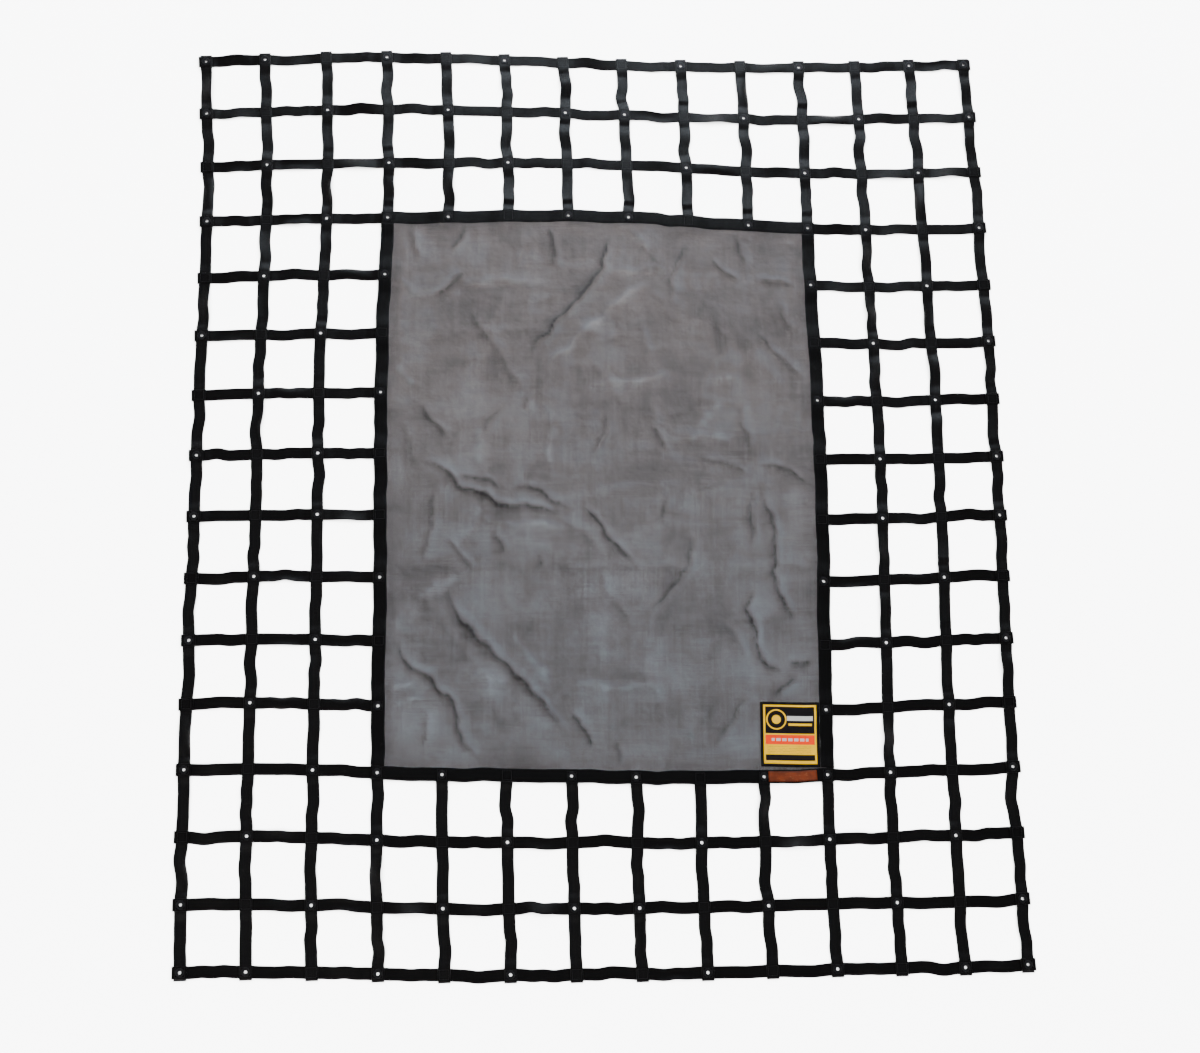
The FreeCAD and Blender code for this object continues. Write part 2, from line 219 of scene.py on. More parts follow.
# ---- materials --------------------------------------------------------------------------
class Nodes:
    """Short names for the nodes of one material. Each method gives an output socket."""

    def __init__(self, tree):
        self.tree = tree

    def node(self, kind, inputs, output=0, **settings):
        """One node: its settings first, then its sockets set to values or linked to sockets."""
        made = self.tree.nodes.new("ShaderNode" + kind)
        for key, value in settings.items():
            setattr(made, key, value)
        for key, value in inputs.items():
            if isinstance(value, bpy.types.NodeSocket):
                self.tree.links.new(value, made.inputs[key])
            else:
                made.inputs[key].default_value = value
        return made if output is None else made.outputs[output]

    def place(self):
        return self.node("TexCoord", {}, "Object")

    def cloth_axes(self):
        """The piece's own UVs, and the two of them apart."""
        uv = self.node("UVMap", {}, uv_map="cloth")
        axes = self.node("SeparateXYZ", {0: uv}, None)
        return uv, axes.outputs[0], axes.outputs[1]

    def math(self, operation, *values, clamp=False):
        return self.node("Math", dict(enumerate(values)), operation=operation, use_clamp=clamp)

    def times(self, first, *others):
        for other in others:
            first = self.math("MULTIPLY", first, other)
        return first

    def add(self, first, second):
        return self.math("ADD", first, second)

    def wave(self, value, length):
        """Size of a sine that is 0 at every multiple of the length."""
        return self.math("ABSOLUTE", self.math("SINE", self.times(value, math.pi / length)))

    def share(self, value, length):
        """How far along its own length each point is, from 0 to 1."""
        return self.math("FRACT", self.math("DIVIDE", value, length))

    def mix(self, factor, first, second):
        return self.node("Mix", {0: factor, 6: first, 7: second}, 2, data_type="RGBA")

    def ramp(self, value, low, high, to_low=0.0, to_high=1.0):
        return self.node("MapRange", {0: value, 1: low, 2: high, 3: to_low, 4: to_high},
                         interpolation_type="SMOOTHSTEP")

    def step(self, value, low, high):
        """Straight rise from 0 at low to 1 at high."""
        return self.node("MapRange", {0: value, 1: low, 2: high})

    def band(self, value, low, high, soft=0.0002):
        """1 between low and high, with a soft edge."""
        rise = self.step(value, low - soft, low + soft)
        fall = self.step(value, high - soft, high + soft)
        return self.times(rise, self.math("SUBTRACT", 1.0, fall))

    def stretched(self, uv, stretch, turn=0.0):
        return self.node("Mapping", {0: uv, 2: (0.0, 0.0, turn), 3: stretch})

    def noise(self, scale, detail=3.0, roughness=0.5, where=None, distortion=0.0):
        return self.node("TexNoise", {
            "Vector": where or self.place(), "Scale": scale, "Detail": detail,
            "Roughness": roughness, "Distortion": distortion})

    def bump(self, height, strength, distance, under=None):
        inputs = {"Strength": strength, "Distance": distance, "Height": height}
        if under:
            inputs["Normal"] = under
        return self.node("Bump", inputs)

    def ribs(self, along, across, rib, column):
        """Woven relief: rounded ribs along, each column of yarns half a rib behind the last."""
        turn = self.times(along, math.pi / rib)
        lane = self.times(self.math("FLOOR", self.math("DIVIDE", across, column)), math.pi / 2)
        rounded = self.math("ABSOLUTE", self.math("SINE", self.add(turn, lane)))
        groove = self.wave(across, column)
        return self.times(self.math("POWER", rounded, 0.6), self.math("POWER", groove, 0.5))

    def surface(self, base, roughness, normal, **more):
        """The finish itself; a keyword's underscores stand for spaces."""
        inputs = {"Base Color": base, "Roughness": roughness, "Normal": normal}
        inputs.update({key.replace("_", " "): value for key, value in more.items()})
        return self.node("BsdfPrincipled", inputs)


def material_of(name, paint, *values):
    """The material of this name. At its first use paint makes its nodes from the values."""
    material = bpy.data.materials.get(name)
    if material is None:
        material = bpy.data.materials.new(name)
        material.use_nodes = True
        material.node_tree.nodes.clear()
        nodes = Nodes(material.node_tree)
        nodes.node("OutputMaterial", {"Surface": paint(nodes, *values)}, None)
    return material


def rgba(colour, gain=1.0):
    """A colour made that many times as bright, with nothing see-through."""
    return (colour[0] * gain, colour[1] * gain, colour[2] * gain, 1.0)


def woven_tape(n, colour, rib, column, width, shift, gloss):
    """Woven polyester tape: ribbed relief with painted shade in its grooves, slightly uneven dye,
    paler scuffed edges, dust.
    """
    _, along, across = n.cloth_axes()
    height = n.ribs(along, across, rib, column)
    where = n.node("Mapping", {0: n.place(), 1: (shift, 0, 0)})
    dye = n.noise(9.0, 4.0, where=where)
    dust = n.noise(60.0, 5.0, 0.65, where)
    edge = n.ramp(n.math("ABSOLUTE", across), width * 0.42, width * 0.5)
    base = n.mix(dye, rgba(colour, 0.72), rgba(colour, 1.35))
    # Painted shade: the grooves between the ribs are darkened.
    base = n.mix(n.times(height, 0.55), rgba(colour, 0.35), base)
    worn = n.times(edge, n.ramp(dust, 0.42, 0.7), 0.22)
    base = n.mix(worn, base, (0.055, 0.052, 0.052, 1))
    base = n.mix(n.times(n.ramp(dust, 0.62, 0.8), 0.12), base, (0.08, 0.076, 0.074, 1))
    crumple = n.bump(n.noise(38.0, 2.0, where=where), 0.32, 0.0016,
                     n.bump(height, 0.55, 0.00035))
    return n.surface(base, n.ramp(height, 0.0, 1.0, 0.40, 0.21), crumple,
                     Specular_IOR_Level=gloss, Sheen_Weight=0.02, Sheen_Roughness=0.4,
                     Sheen_Tint=(0.72, 0.80, 1.0, 1.0))


def open_mesh(n, shape, colour):
    """Open weave: threads both ways with square gaps between them. Where the cloth is tucked the
    gaps close and the threads get painted shade, and where it is loose they get a painted sheen;
    what shows through the gaps has a painted reflection tint, a little warmer at the head side and
    a little cooler at the foot side."""
    uv, along, across = n.cloth_axes()
    pitch = shape.weave_pitch
    wander = n.times(n.noise(90.0, 2.0), pitch * 0.6)
    hole = n.math("MINIMUM", *[n.wave(n.add(axis, wander), pitch) for axis in (along, across)])
    # The tuck attribute closes the gaps where the cloth is tucked and also carries painted shade on
    # tight folds and painted sheen on loose ones.
    tuck_and_shade = n.node("Attribute", {}, "Fac", attribute_name="tuck_and_shade")
    patchy = n.noise(3.2, 5.0, 0.6)
    # Long soft noise bands add to it in the same way: they close or open the gaps and add painted
    # shade and painted sheen.
    for turn, stretch, gain in ((0.45, (5.0, 15.0, 1.0), 0.17), (-0.5, (15.0, 4.5, 1.0), 0.15)):
        slack = n.noise(1.0, 5.0, 0.58, n.stretched(uv, stretch, turn), 0.5)
        tuck_and_shade = n.add(tuck_and_shade, n.ramp(slack, 0.3, 0.7, -gain, gain))
    edge = n.add(shape.weave_edge, n.times(tuck_and_shade, 0.11))
    edge = n.add(edge, n.ramp(patchy, 0.3, 0.7, 0.016, -0.016))
    for stretch, gain in (((9, 420, 1), 0.042), ((300, 7, 1), 0.034), ((60, 60, 1), 0.014)):
        slub = n.noise(1.0, 2.0, where=n.stretched(uv, stretch))
        edge = n.add(edge, n.ramp(slub, 0.3, 0.7, gain, -gain))
    open_share = n.step(hole, edge, n.add(edge, 0.06))
    # Painted reflection: the colour seen through the gaps shifts from warm at the head to cool at
    # the foot.
    up_the_net = n.node("SeparateXYZ", {0: n.place()}, 1)
    painted_reflection_tint = n.mix(n.ramp(up_the_net, -0.5, 0.55), (0.93, 0.965, 1.0, 1), (1.0, 0.965, 0.95, 1))
    yarn = n.mix(patchy, rgba(colour, 0.8), rgba(colour, 1.25))
    # Painted sheen: threads of loose folds are lightened towards pale blue.
    painted_sheen = n.math("MULTIPLY", tuck_and_shade, -0.8, clamp=True)
    yarn = n.mix(painted_sheen, yarn, (0.33, 0.37, 0.43, 1))
    # Painted shade: threads of tucked folds are darkened.
    depth = n.math("POWER", n.math("MAXIMUM", tuck_and_shade, 0.0), 1.2)
    yarn = n.mix(n.math("MULTIPLY", depth, 0.95, clamp=True), yarn, rgba(colour, 0.25))
    for axis in (along, across):
        yarn = n.mix(n.ramp(n.wave(axis, pitch * 2), 0.0, 0.5, 0.3, 0.0), yarn,
                     rgba(colour, 0.4))
    crinkle = n.bump(n.noise(34.0, 4.0, 0.55), 0.6, 0.004,
                     n.bump(n.math("SUBTRACT", 1.0, hole), 0.35, 0.0003))
    thread = n.surface(yarn, 0.5, crinkle, Specular_IOR_Level=0.3, Sheen_Weight=0.25,
                       Sheen_Roughness=0.4, Sheen_Tint=(0.8, 0.86, 1.0, 1.0))
    clear = n.node("BsdfTransparent", {"Color": painted_reflection_tint})
    return n.node("MixShader", {0: open_share, 1: thread, 2: clear})


def twisted_thread(n, colour):
    """Twisted sewing thread: fine slanting plies and a soft shine."""
    twist = n.node("TexWave", {"Vector": n.place(), "Scale": 900.0, "Distortion": 2.0}, 1,
                   bands_direction="DIAGONAL")
    return n.surface(n.mix(twist, rgba(colour, 0.6), rgba(colour, 1.4)),
                     n.ramp(n.noise(300.0), 0.3, 0.7, 0.38, 0.6), n.bump(twist, 0.5, 0.0001),
                     Specular_IOR_Level=0.35)


def blackened_brass(n, colour):
    """Black-finished brass: satin, with rubbed spots where the finish has thinned."""
    rub = n.noise(420.0, 5.0, 0.65)
    bare = n.times(n.ramp(rub, 0.62, 0.74), n.ramp(n.noise(25.0, 2.0), 0.5, 0.7))
    return n.surface(n.mix(bare, rgba(colour), (0.20, 0.165, 0.11, 1)),
                     n.ramp(rub, 0.3, 0.7, 0.34, 0.5), n.bump(rub, 0.25, 0.0001), Metallic=0.75)


def printed_label(n, colours, width, length):
    """Printed label: a dark header with a plain ring and plain bars, a coloured band, ruled
    lines, a dark strip near the foot, and a ground colour that is rubbed and dusty."""
    uv, across, up = n.cloth_axes()
    ground = rgba(colours.label)
    dark, pale = (0.006, 0.0045, 0.0055, 1), (0.62, 0.60, 0.56, 1)
    rub = n.noise(150.0, 5.0, 0.65)
    margin, header = 0.0042, length - 0.0605
    inset = n.band(across, margin, width - margin)
    base = n.mix(n.ramp(n.noise(22.0), 0.3, 0.7), rgba(colours.label, 0.88),
                 rgba(colours.label, 1.06))
    base = n.mix(n.times(n.band(up, header, length - margin), inset), base, dark)
    from_middle = n.node("VectorMath", {0: uv, 1: (0.0275, length - 0.031, 0.0)}, "Value",
                         operation="DISTANCE")
    for disc in (n.band(from_middle, 0.0185, 0.0215), n.step(from_middle, 0.0097, 0.0093)):
        base = n.mix(disc, base, ground)
    for low, high, start, stop, paint in ((0.027, 0.037, 0.050, 0.104, pale),
                                          (0.0165, 0.0215, 0.053, 0.102, ground)):
        bar = n.times(n.band(up, header + low, header + high), n.band(across, start, stop))
        base = n.mix(bar, base, paint)
    base = n.mix(n.times(n.band(up, length - 0.0835, length - 0.0635), inset), base,
                 rgba(colours.band))
    dashes = n.band(n.share(across, 0.0125), 0.12, 0.86, 0.02)
    dashes = n.times(n.band(up, length - 0.0765, length - 0.0705), dashes,
                     n.band(across, 0.017, width - 0.017), 0.85)
    base = n.mix(dashes, base, pale)
    rules = n.band(n.share(up, 0.0035), 0.25, 0.55, 0.05)
    ruled = n.times(n.band(up, 0.0215, length - 0.0865), n.band(across, 0.008, width - 0.012))
    uneven = n.ramp(n.noise(1.0, 0.0, where=n.stretched(uv, (900, 285, 1))), 0.42, 0.5)
    base = n.mix(n.times(rules, ruled, n.times(uneven, 0.55)), base, (0.12, 0.06, 0.01, 1))
    base = n.mix(n.times(n.band(up, 0.007, 0.0195), inset), base, dark)
    base = n.mix(n.times(n.ramp(rub, 0.62, 0.8), 0.1), base, (0.4, 0.34, 0.25, 1))
    return n.surface(base, n.ramp(rub, 0.3, 0.7, 0.5, 0.7),
                     n.bump(n.ribs(across, up, 0.0007, 0.0007), 0.2, 0.0001),
                     Specular_IOR_Level=0.06)


def coated_tag(n, colour, length, width):
    """Coated load tag: painted cloth with pale scuffs, darker along its long edges."""
    uv, along, across = n.cloth_axes()
    scuff = n.noise(1.0, 6.0, 0.7, n.stretched(uv, (70, 420, 1)))
    base = n.mix(n.ramp(n.noise(60.0), 0.3, 0.7), rgba(colour, 0.7), rgba(colour, 1.3))
    pale = n.times(n.ramp(scuff, 0.56, 0.68), n.band(along, 0.012, length - 0.014, 0.01), 0.75)
    base = n.mix(pale, base, (0.30, 0.115, 0.05, 1))
    edge = n.math("MINIMUM", across, n.math("SUBTRACT", width, across))
    # Darker within about two millimetres of the long edges.
    base = n.mix(n.times(n.ramp(edge, 0.0018, 0.0004), 0.6), base, rgba(colour, 0.35))
    return n.surface(base, n.ramp(scuff, 0.3, 0.7, 0.32, 0.6), n.bump(scuff, 0.3, 0.0002),
                     Specular_IOR_Level=0.12)


def pale_floor(n):
    """Matt, evenly pale ground."""
    return n.node("BsdfPrincipled", {"Base Color": (0.86, 0.86, 0.86, 1), "Roughness": 0.9,
                                     "Specular IOR Level": 0.1})


# ---- straps -----------------------------------------------------------------------------
def rounded_ring(width, thick):
    """Section of a flat tape with half-round edges: across and up offsets in order round it,
    seven points on each face and three round each edge."""
    edge = thick / 2
    face = np.linspace(-1, 1, FACE_POINTS) * (width / 2 - edge)
    turn = np.radians([60, 0, -60])
    right = np.stack([width / 2 - edge + edge * np.cos(turn), edge * np.sin(turn)], -1)
    top = np.stack([face, np.full(FACE_POINTS, edge)], -1)
    bottom = np.stack([face[::-1], np.full(FACE_POINTS, -edge)], -1)
    return np.concatenate([top, right, bottom, -right])


TOP_MIDDLE, BOTTOM_MIDDLE = 3, 13   # the middle points of a section's two faces


class Line:
    """A tape's middle line with what it needs at each sample: side direction, roll, curl of
    the section and length so far. The marks are the samples of its eyelet holes."""

    def __init__(self, middle, side, roll, curl, marks):
        self.middle, self.side, self.roll, self.curl = middle, side, roll, curl
        self.marks = marks
        step = np.linalg.norm(np.diff(middle, axis=0), axis=1)
        self.length = np.concatenate([[0], np.cumsum(step)])


def sweep(line, width, thick):
    """A tape swept along its line. At each sample the section is rolled about the line and
    bent into an arc of the given curl. At a hole, four cells of both faces are left out, their
    eight outer points are moved on to a circle, and a wall joins the two faces."""
    tangent = unit(np.gradient(line.middle, axis=0))
    side = unit(line.side - tangent * np.einsum("ij,ij->i", line.side, tangent)[:, None])
    up = np.cross(tangent, side)
    cos, sin = np.cos(line.roll)[:, None], np.sin(line.roll)[:, None]
    side, up = side * cos + up * sin, up * cos - side * sin
    ring = rounded_ring(width, thick)
    count, around = len(line.middle), len(ring)
    curl = np.where(np.abs(line.curl) < 1e-3, 1e-3, line.curl)[:, None]
    bend_r = width / 2 / curl
    angle = ring[None, :, 0] / bend_r
    across = (bend_r - ring[None, :, 1]) * np.sin(angle)
    rise = bend_r - (bend_r - ring[None, :, 1]) * np.cos(angle)
    points = (line.middle[:, None] + side[:, None] * across[..., None]
              + up[:, None] * rise[..., None])
    lowest = points[..., 2].min(1)
    points[..., 2] += np.maximum(LEAST_TAPE_Z - lowest, 0)[:, None]
    index = np.arange(count * around).reshape(count, around)
    a, b = index[:-1], index[1:]
    quads = np.stack([a, np.roll(a, -1, 1), np.roll(b, -1, 1), b], -1)
    keep = np.ones(quads.shape[:2], bool)
    walls = []
    target = CUT_R * np.stack([np.sin(ROUND_TURN), np.cos(ROUND_TURN)], -1)
    for hole in line.marks:
        loops = []
        for lane, way in ((TOP_MIDDLE, 1), (BOTTOM_MIDDLE, -1)):
            spots = hole + ROUND_ROWS, lane + way * ROUND_LANES
            points[(*spots, slice(2))] = (
                points[hole, lane, :2] + target[:, :1] * tangent[hole, :2]
                + target[:, 1:] * side[hole, :2])
            loops.append(index[spots])
            keep[hole - 1:hole + 1, lane - 1:lane + 1] = False
        top, bottom = loops
        walls.append(np.stack([top, np.roll(top, -1), np.roll(bottom, -1), bottom], -1))
    fan = np.arange(around // 2 - 1)
    caps = [np.stack([end[fan], end[fan + 1], end[around - 2 - fan], end[around - 1 - fan]],
                     -1)[:, ::order] for end, order in ((index[0], -1), (index[-1], 1))]
    vertices = points.reshape(-1, 3)
    uv = np.stack(np.broadcast_arrays(line.length[:, None], ring[None, :, 0]), -1)
    faces = outward(vertices, np.concatenate([quads[keep]] + walls + caps))
    return compact(vertices, faces, uv.reshape(-1, 2))


# Spans shaped one by one: kind of strap, what is set, strap, span and value.
HAND_SHAPED = (
    ("long", "early", slice(4, 10), 1, True), ("long", "early", slice(4, 10), 2, False),
    ("long", "swing", 11, 1, 0.0042), ("long", "swing", 11, 2, -0.0034),
    ("long", "wave", 12, 5, 0.003),
    ("long", "roll", 13, 12, math.radians(14)), ("long", "curl", 13, 12, -0.2),
    ("long", "wave", 13, 12, -0.0078), ("long", "swing", 13, 12, -0.0012),
    ("cross", "curl", 1, 10, -0.6), ("cross", "roll", 1, 10, math.radians(-16)),
)


def span_choices(shape):
    """Seeded shape of every span of every strap: its sideways waves, how high it arches,
    whether the arch comes early, its roll and its curl. The straps over the head half and
    along the right side stand highest."""
    rng = np.random.default_rng(shape.seed)
    long = {key: rng.normal(0, 1, (COLUMNS, ROWS - 1)) for key in "abcdefg"}
    cross = {key: rng.normal(0, 1, (ROWS, COLUMNS - 1)) for key in "abcdefg"}
    column = np.arange(COLUMNS)[:, None]
    row = np.arange(ROWS - 1)[None, :]
    lively = 1.6 + 4.4 * np.exp(-((column - 6.8) / 3.2)**2 - (row / 3.2)**2)
    lively = lively + 2.2 * np.exp(-((column - 12.2) / 2.0)**2) * (row < PANEL_FOOT)
    long["arch"] = np.clip(long["c"] * 0.35 + 1.0, 0.2, 1.7) * lively * 0.001 * shape.arch
    cross["arch"] = np.abs(cross["c"]) * 0.0012 * shape.arch
    for made in (long, cross):
        made["wave"] = np.clip(made["a"], -2.2, 2.2) * 0.0019
        made["swing"] = np.clip(made["b"], -2.2, 2.2) * 0.0021
        made["ripple"] = np.clip(made["g"], -2.0, 2.0) * 0.0007
        made["early"] = made["d"] > -0.2
        made["roll"] = np.radians(np.clip(made["e"]**3 * 2.6 + made["e"] * 3.0, -22, 22))
        made["curl"] = np.clip(made["f"]**3 * 0.07 + made["f"] * 0.05, -0.55, 0.55)
    choices = {"long": long, "cross": cross}
    for kind, key, strap, span, value in HAND_SHAPED:
        choices[kind][key][strap, span] = value
    return choices


def of_strap(table, kind, index):
    """One strap's row of a table by column and row."""
    return table[index] if kind == "long" else table[:, index]


def strap_line(kind, index, first, last, choices):
    """Middle line of a strap from one crossing to another. In plan each span is a cubic with
    the neighbouring crossings' slope, plus waves that vanish with their slopes at both ends.
    In height it is flat over each crossing, falls to the ground beside it and arches between."""
    crossing, settle, inside = (of_strap(table, kind, index)
                                for table in (CROSSING, SETTLE, IN_PANEL))
    body_z = LENGTH_Z if kind == "long" else CROSS_Z
    spans = np.arange(first, last)
    s = np.linspace(0, 1, STEPS + 1)[None, :-1]
    before = np.where(spans > first, spans - 1, spans)
    after = np.where(spans + 2 <= last, spans + 2, spans + 1)
    start, end = crossing[spans], crossing[spans + 1]
    slope_in = (end - crossing[before]) / (1 + (spans > first))[:, None]
    slope_out = (crossing[after] - start) / (1 + (spans + 2 <= last))[:, None]
    s3 = s[..., None]
    plan = ((2 * s3**3 - 3 * s3**2 + 1) * start[:, None] + (s3**3 - 2 * s3**2 + s3)
            * slope_in[:, None] + (3 * s3**2 - 2 * s3**3) * end[:, None]
            + (s3**3 - s3**2) * slope_out[:, None])
    run = np.linalg.norm(end - start, axis=1)[:, None]
    ahead = unit(end - start)
    left = np.stack([-ahead[:, 1], ahead[:, 0]], -1)
    pick = {key: table[index, first:last][:, None] for key, table in choices[kind].items()}
    sewn = (inside[spans] & inside[spans + 1])[:, None]
    bulge = np.sin(np.pi * s)**2
    wave = bulge * (pick["wave"] + pick["swing"] * np.sin(2 * np.pi * s)
                    + pick["ripple"] * np.sin(5 * np.pi * s))
    wave = wave * np.where(sewn, 0.6, 1.0)
    plan = plan + left[:, None] * wave[..., None]
    level_a = (body_z - settle[spans])[:, None]
    level_b = (body_z - settle[spans + 1])[:, None]
    flat = FLAT_HALF / run
    drop = np.where(sewn, SEWN_DROP, LOOSE_DROP) / run
    ground = np.where(sewn, SEWN_GROUND, LOOSE_GROUND)
    fall_a = 1 - smooth((s - flat) / drop)
    fall_b = 1 - smooth((1 - s - flat) / drop)
    z = ground + (level_a - ground) * fall_a + (level_b - ground) * fall_b
    rest = ARCH_START / run
    t = np.clip((s - rest) / (1 - 2 * rest), 0, 1)
    early = t * (1 - t)**2 * 6.75
    late = np.where(t < LATE_CREST, (t / LATE_CREST)**2, (1 - t) / (1 - LATE_CREST))
    z = z + np.where(sewn, 0, pick["arch"]) * np.where(pick["early"], early, late)
    roll = np.where(sewn, 0, pick["roll"]) * bulge
    curl = np.where(sewn, 0, pick["curl"]) * bulge
    plan = np.concatenate([plan.reshape(-1, 2), crossing[last][None]])
    z = np.append(z, body_z - settle[last])
    heading = unit(np.gradient(plan, axis=0))
    side = np.stack([-heading[:, 1], heading[:, 0]], -1)
    return plan, z, heading, side, np.append(roll, 0), np.append(curl, 0)


def wrapped_end(crossing, away, kind):
    """Points of a strap's end beyond its last crossing: out past the border strap, half a turn
    round its edge, and back over or under it. Also which of them is over the eyelet."""
    turn = -1 if kind == "long" else 1
    arc = np.radians(np.linspace(0, 180, 9)[1:-1])
    back = np.concatenate([[WRAP_REACH], WRAP_STEPS[::-1], [0], -WRAP_STEPS, [-WRAP_END]])
    reach = np.concatenate([WRAP_STEPS, [WRAP_REACH], WRAP_REACH + WRAP_R * np.sin(arc), back])
    out = len(WRAP_STEPS) + 1
    rise = np.concatenate([np.zeros(out), turn * WRAP_R * (1 - np.cos(arc)),
                           np.full(len(back), turn * 2 * WRAP_R)])
    points = crossing + np.column_stack([away * reach[:, None], rise])
    return points, out + len(arc) + len(WRAP_STEPS) + 1


def sewn_end(crossing, away, steps):
    """Points that run straight on from a line's last one."""
    return crossing + np.column_stack([away * steps[:, None], np.zeros(len(steps))])


def full_line(kind, index, first, last, choices):
    """A whole strap with its wrapped or sewn-down ends, and the samples of its eyelet holes."""
    plan, z, heading, side, roll, curl = strap_line(kind, index, first, last, choices)
    holed = of_strap(HAS_EYELET, kind, index)
    border = ROWS - 1 if kind == "long" else COLUMNS - 1
    middle = np.column_stack([plan, z])
    side = np.column_stack([side, np.zeros(len(side))])
    marks = [k * STEPS for k, at in enumerate(range(first, last + 1)) if holed[at]]
    head, tail = (sewn_end(middle[end], way * heading[end], END_STEPS)
                  for end, way in ((0, -1), (-1, 1)))
    if first == 0:
        head, over = wrapped_end(middle[0], -heading[0], kind)
        if holed[first]:
            marks.append(-1 - over)
    if last == border:
        tail, over = wrapped_end(middle[-1], heading[-1], kind)
        if holed[last]:
            marks.append(len(middle) + over)
    more = (len(head), len(tail))
    return Line(np.concatenate([head[::-1], middle, tail]),
                np.pad(side, (more, (0, 0)), mode="edge"), np.pad(roll, more),
                np.pad(curl, more), sorted(mark + len(head) for mark in marks))


def strap_list():
    """Every strap piece: its kind, index, first and last crossing and CAD node."""
    pieces = []
    for kind, word, count, end, (low, high), (near, far), (start_name, end_name) in (
            ("long", "lengthwise", COLUMNS, ROWS - 1, (PANEL_LEFT, PANEL_RIGHT),
             (PANEL_HEAD, PANEL_FOOT), ("_head", "_foot")),
            ("cross", "cross", ROWS, COLUMNS - 1, (PANEL_HEAD, PANEL_FOOT),
             (PANEL_LEFT, PANEL_RIGHT), ("_left", "_right"))):
        for index in range(count):
            name = f"{word}_strap_{index + 1:02d}"
            if low < index < high:
                pieces.append((kind, index, 0, near, name + start_name))
                pieces.append((kind, index, far, end, name + end_name))
            else:
                pieces.append((kind, index, 0, end, name))
    return pieces


# ---- panel ------------------------------------------------------------------------------
# Each side of the panel: its kind of strap, which one, and the way from it to the outside.
SIDES = {"left": ("long", PANEL_LEFT, -1), "right": ("long", PANEL_RIGHT, 1),
         "head": ("cross", PANEL_HEAD, 1), "foot": ("cross", PANEL_FOOT, -1)}


def border_side(name, choices):
    """Plan line of one side of the panel, its side direction towards the panel's outside,
    the height of the mesh over it, and its heading. Over a crossing with a lengthwise strap
    the mesh on a crosswise one rises by a strap's thickness."""
    kind, index, way = SIDES[name]
    first, last, end = ((PANEL_HEAD, PANEL_FOOT, ROWS - 1) if kind == "long"
                        else (PANEL_LEFT, PANEL_RIGHT, COLUMNS - 1))
    plan, z, heading, side, _, _ = strap_line(kind, index, 0, end, choices)
    part = slice(first * STEPS, last * STEPS + 1)
    height = z[part] + MESH_OVER_STRAP
    if kind == "cross":
        near = np.abs((np.arange(len(plan))[part] / STEPS + 0.5) % 1 - 0.5)
        over = 1 - smooth((near * PITCH[0] - FLAT_HALF) / SEWN_DROP)
        height = height + over * WEB_THICK
    return plan[part], side[part] * way, height, heading[part]


class Panel:
    """The mesh panel's plan as a Coons patch between its four border lines, in units of
    crossings: straight blends of opposite sides, less the blend of the four corners."""

    def __init__(self, choices):
        self.sides = {name: border_side(name, choices) for name in SIDES}

    def on_side(self, name, at, what=0):
        """A value of one side at crossings along it, straight between its samples: 0 is its
        plan, 1 its outward direction and 2 the mesh's height."""
        first = PANEL_HEAD if name in ("left", "right") else PANEL_LEFT
        values = self.sides[name][what]
        along = np.clip((at - first) * STEPS, 0, len(values) - 1)
        base = np.minimum(along.astype(int), len(values) - 2)
        share = along - base
        if values.ndim == 2:
            share = share[..., None]
        return values[base] * (1 - share) + values[base + 1] * share

    def plan(self, column, row):
        """Plan of the panel at the given crossings, held inside its border lines."""
        u = ((np.clip(column, PANEL_LEFT, PANEL_RIGHT) - PANEL_LEFT)
             / (PANEL_RIGHT - PANEL_LEFT))[..., None]
        v = ((np.clip(row, PANEL_HEAD, PANEL_FOOT) - PANEL_HEAD)
             / (PANEL_FOOT - PANEL_HEAD))[..., None]
        head, foot = self.on_side("head", column), self.on_side("foot", column)
        left, right = self.on_side("left", row), self.on_side("right", row)
        a, b, c, d = (self.sides[name][0][k] for name in ("head", "foot") for k in (0, -1))
        return ((1 - v) * head + v * foot + (1 - u) * left + u * right
                - (1 - u) * (1 - v) * a - u * (1 - v) * b - (1 - u) * v * c - u * v * d)

    def crossings_of(self, points):
        """Column and row of plan points inside the panel, by Newton steps from a plain guess."""
        origin = CROSSING[PANEL_LEFT, PANEL_HEAD]
        guess = (PANEL_LEFT, PANEL_HEAD) + (points - origin) * (1, -1) / PITCH
        step, margin = 0.01, 0.011
        low, high = (PANEL_LEFT, PANEL_HEAD), (PANEL_RIGHT - margin, PANEL_FOOT - margin)
        for _ in range(6):
            guess = np.clip(guess, low, high)
            here = self.plan(guess[..., 0], guess[..., 1])
            du = (self.plan(guess[..., 0] + step, guess[..., 1]) - here) / step
            dv = (self.plan(guess[..., 0], guess[..., 1] + step) - here) / step
            miss = points - here
            scale = du[..., 0] * dv[..., 1] - du[..., 1] * dv[..., 0]
            guess[..., 0] += (miss[..., 0] * dv[..., 1] - miss[..., 1] * dv[..., 0]) / scale
            guess[..., 1] += (du[..., 0] * miss[..., 1] - du[..., 1] * miss[..., 0]) / scale
        return np.clip(guess, low, high)
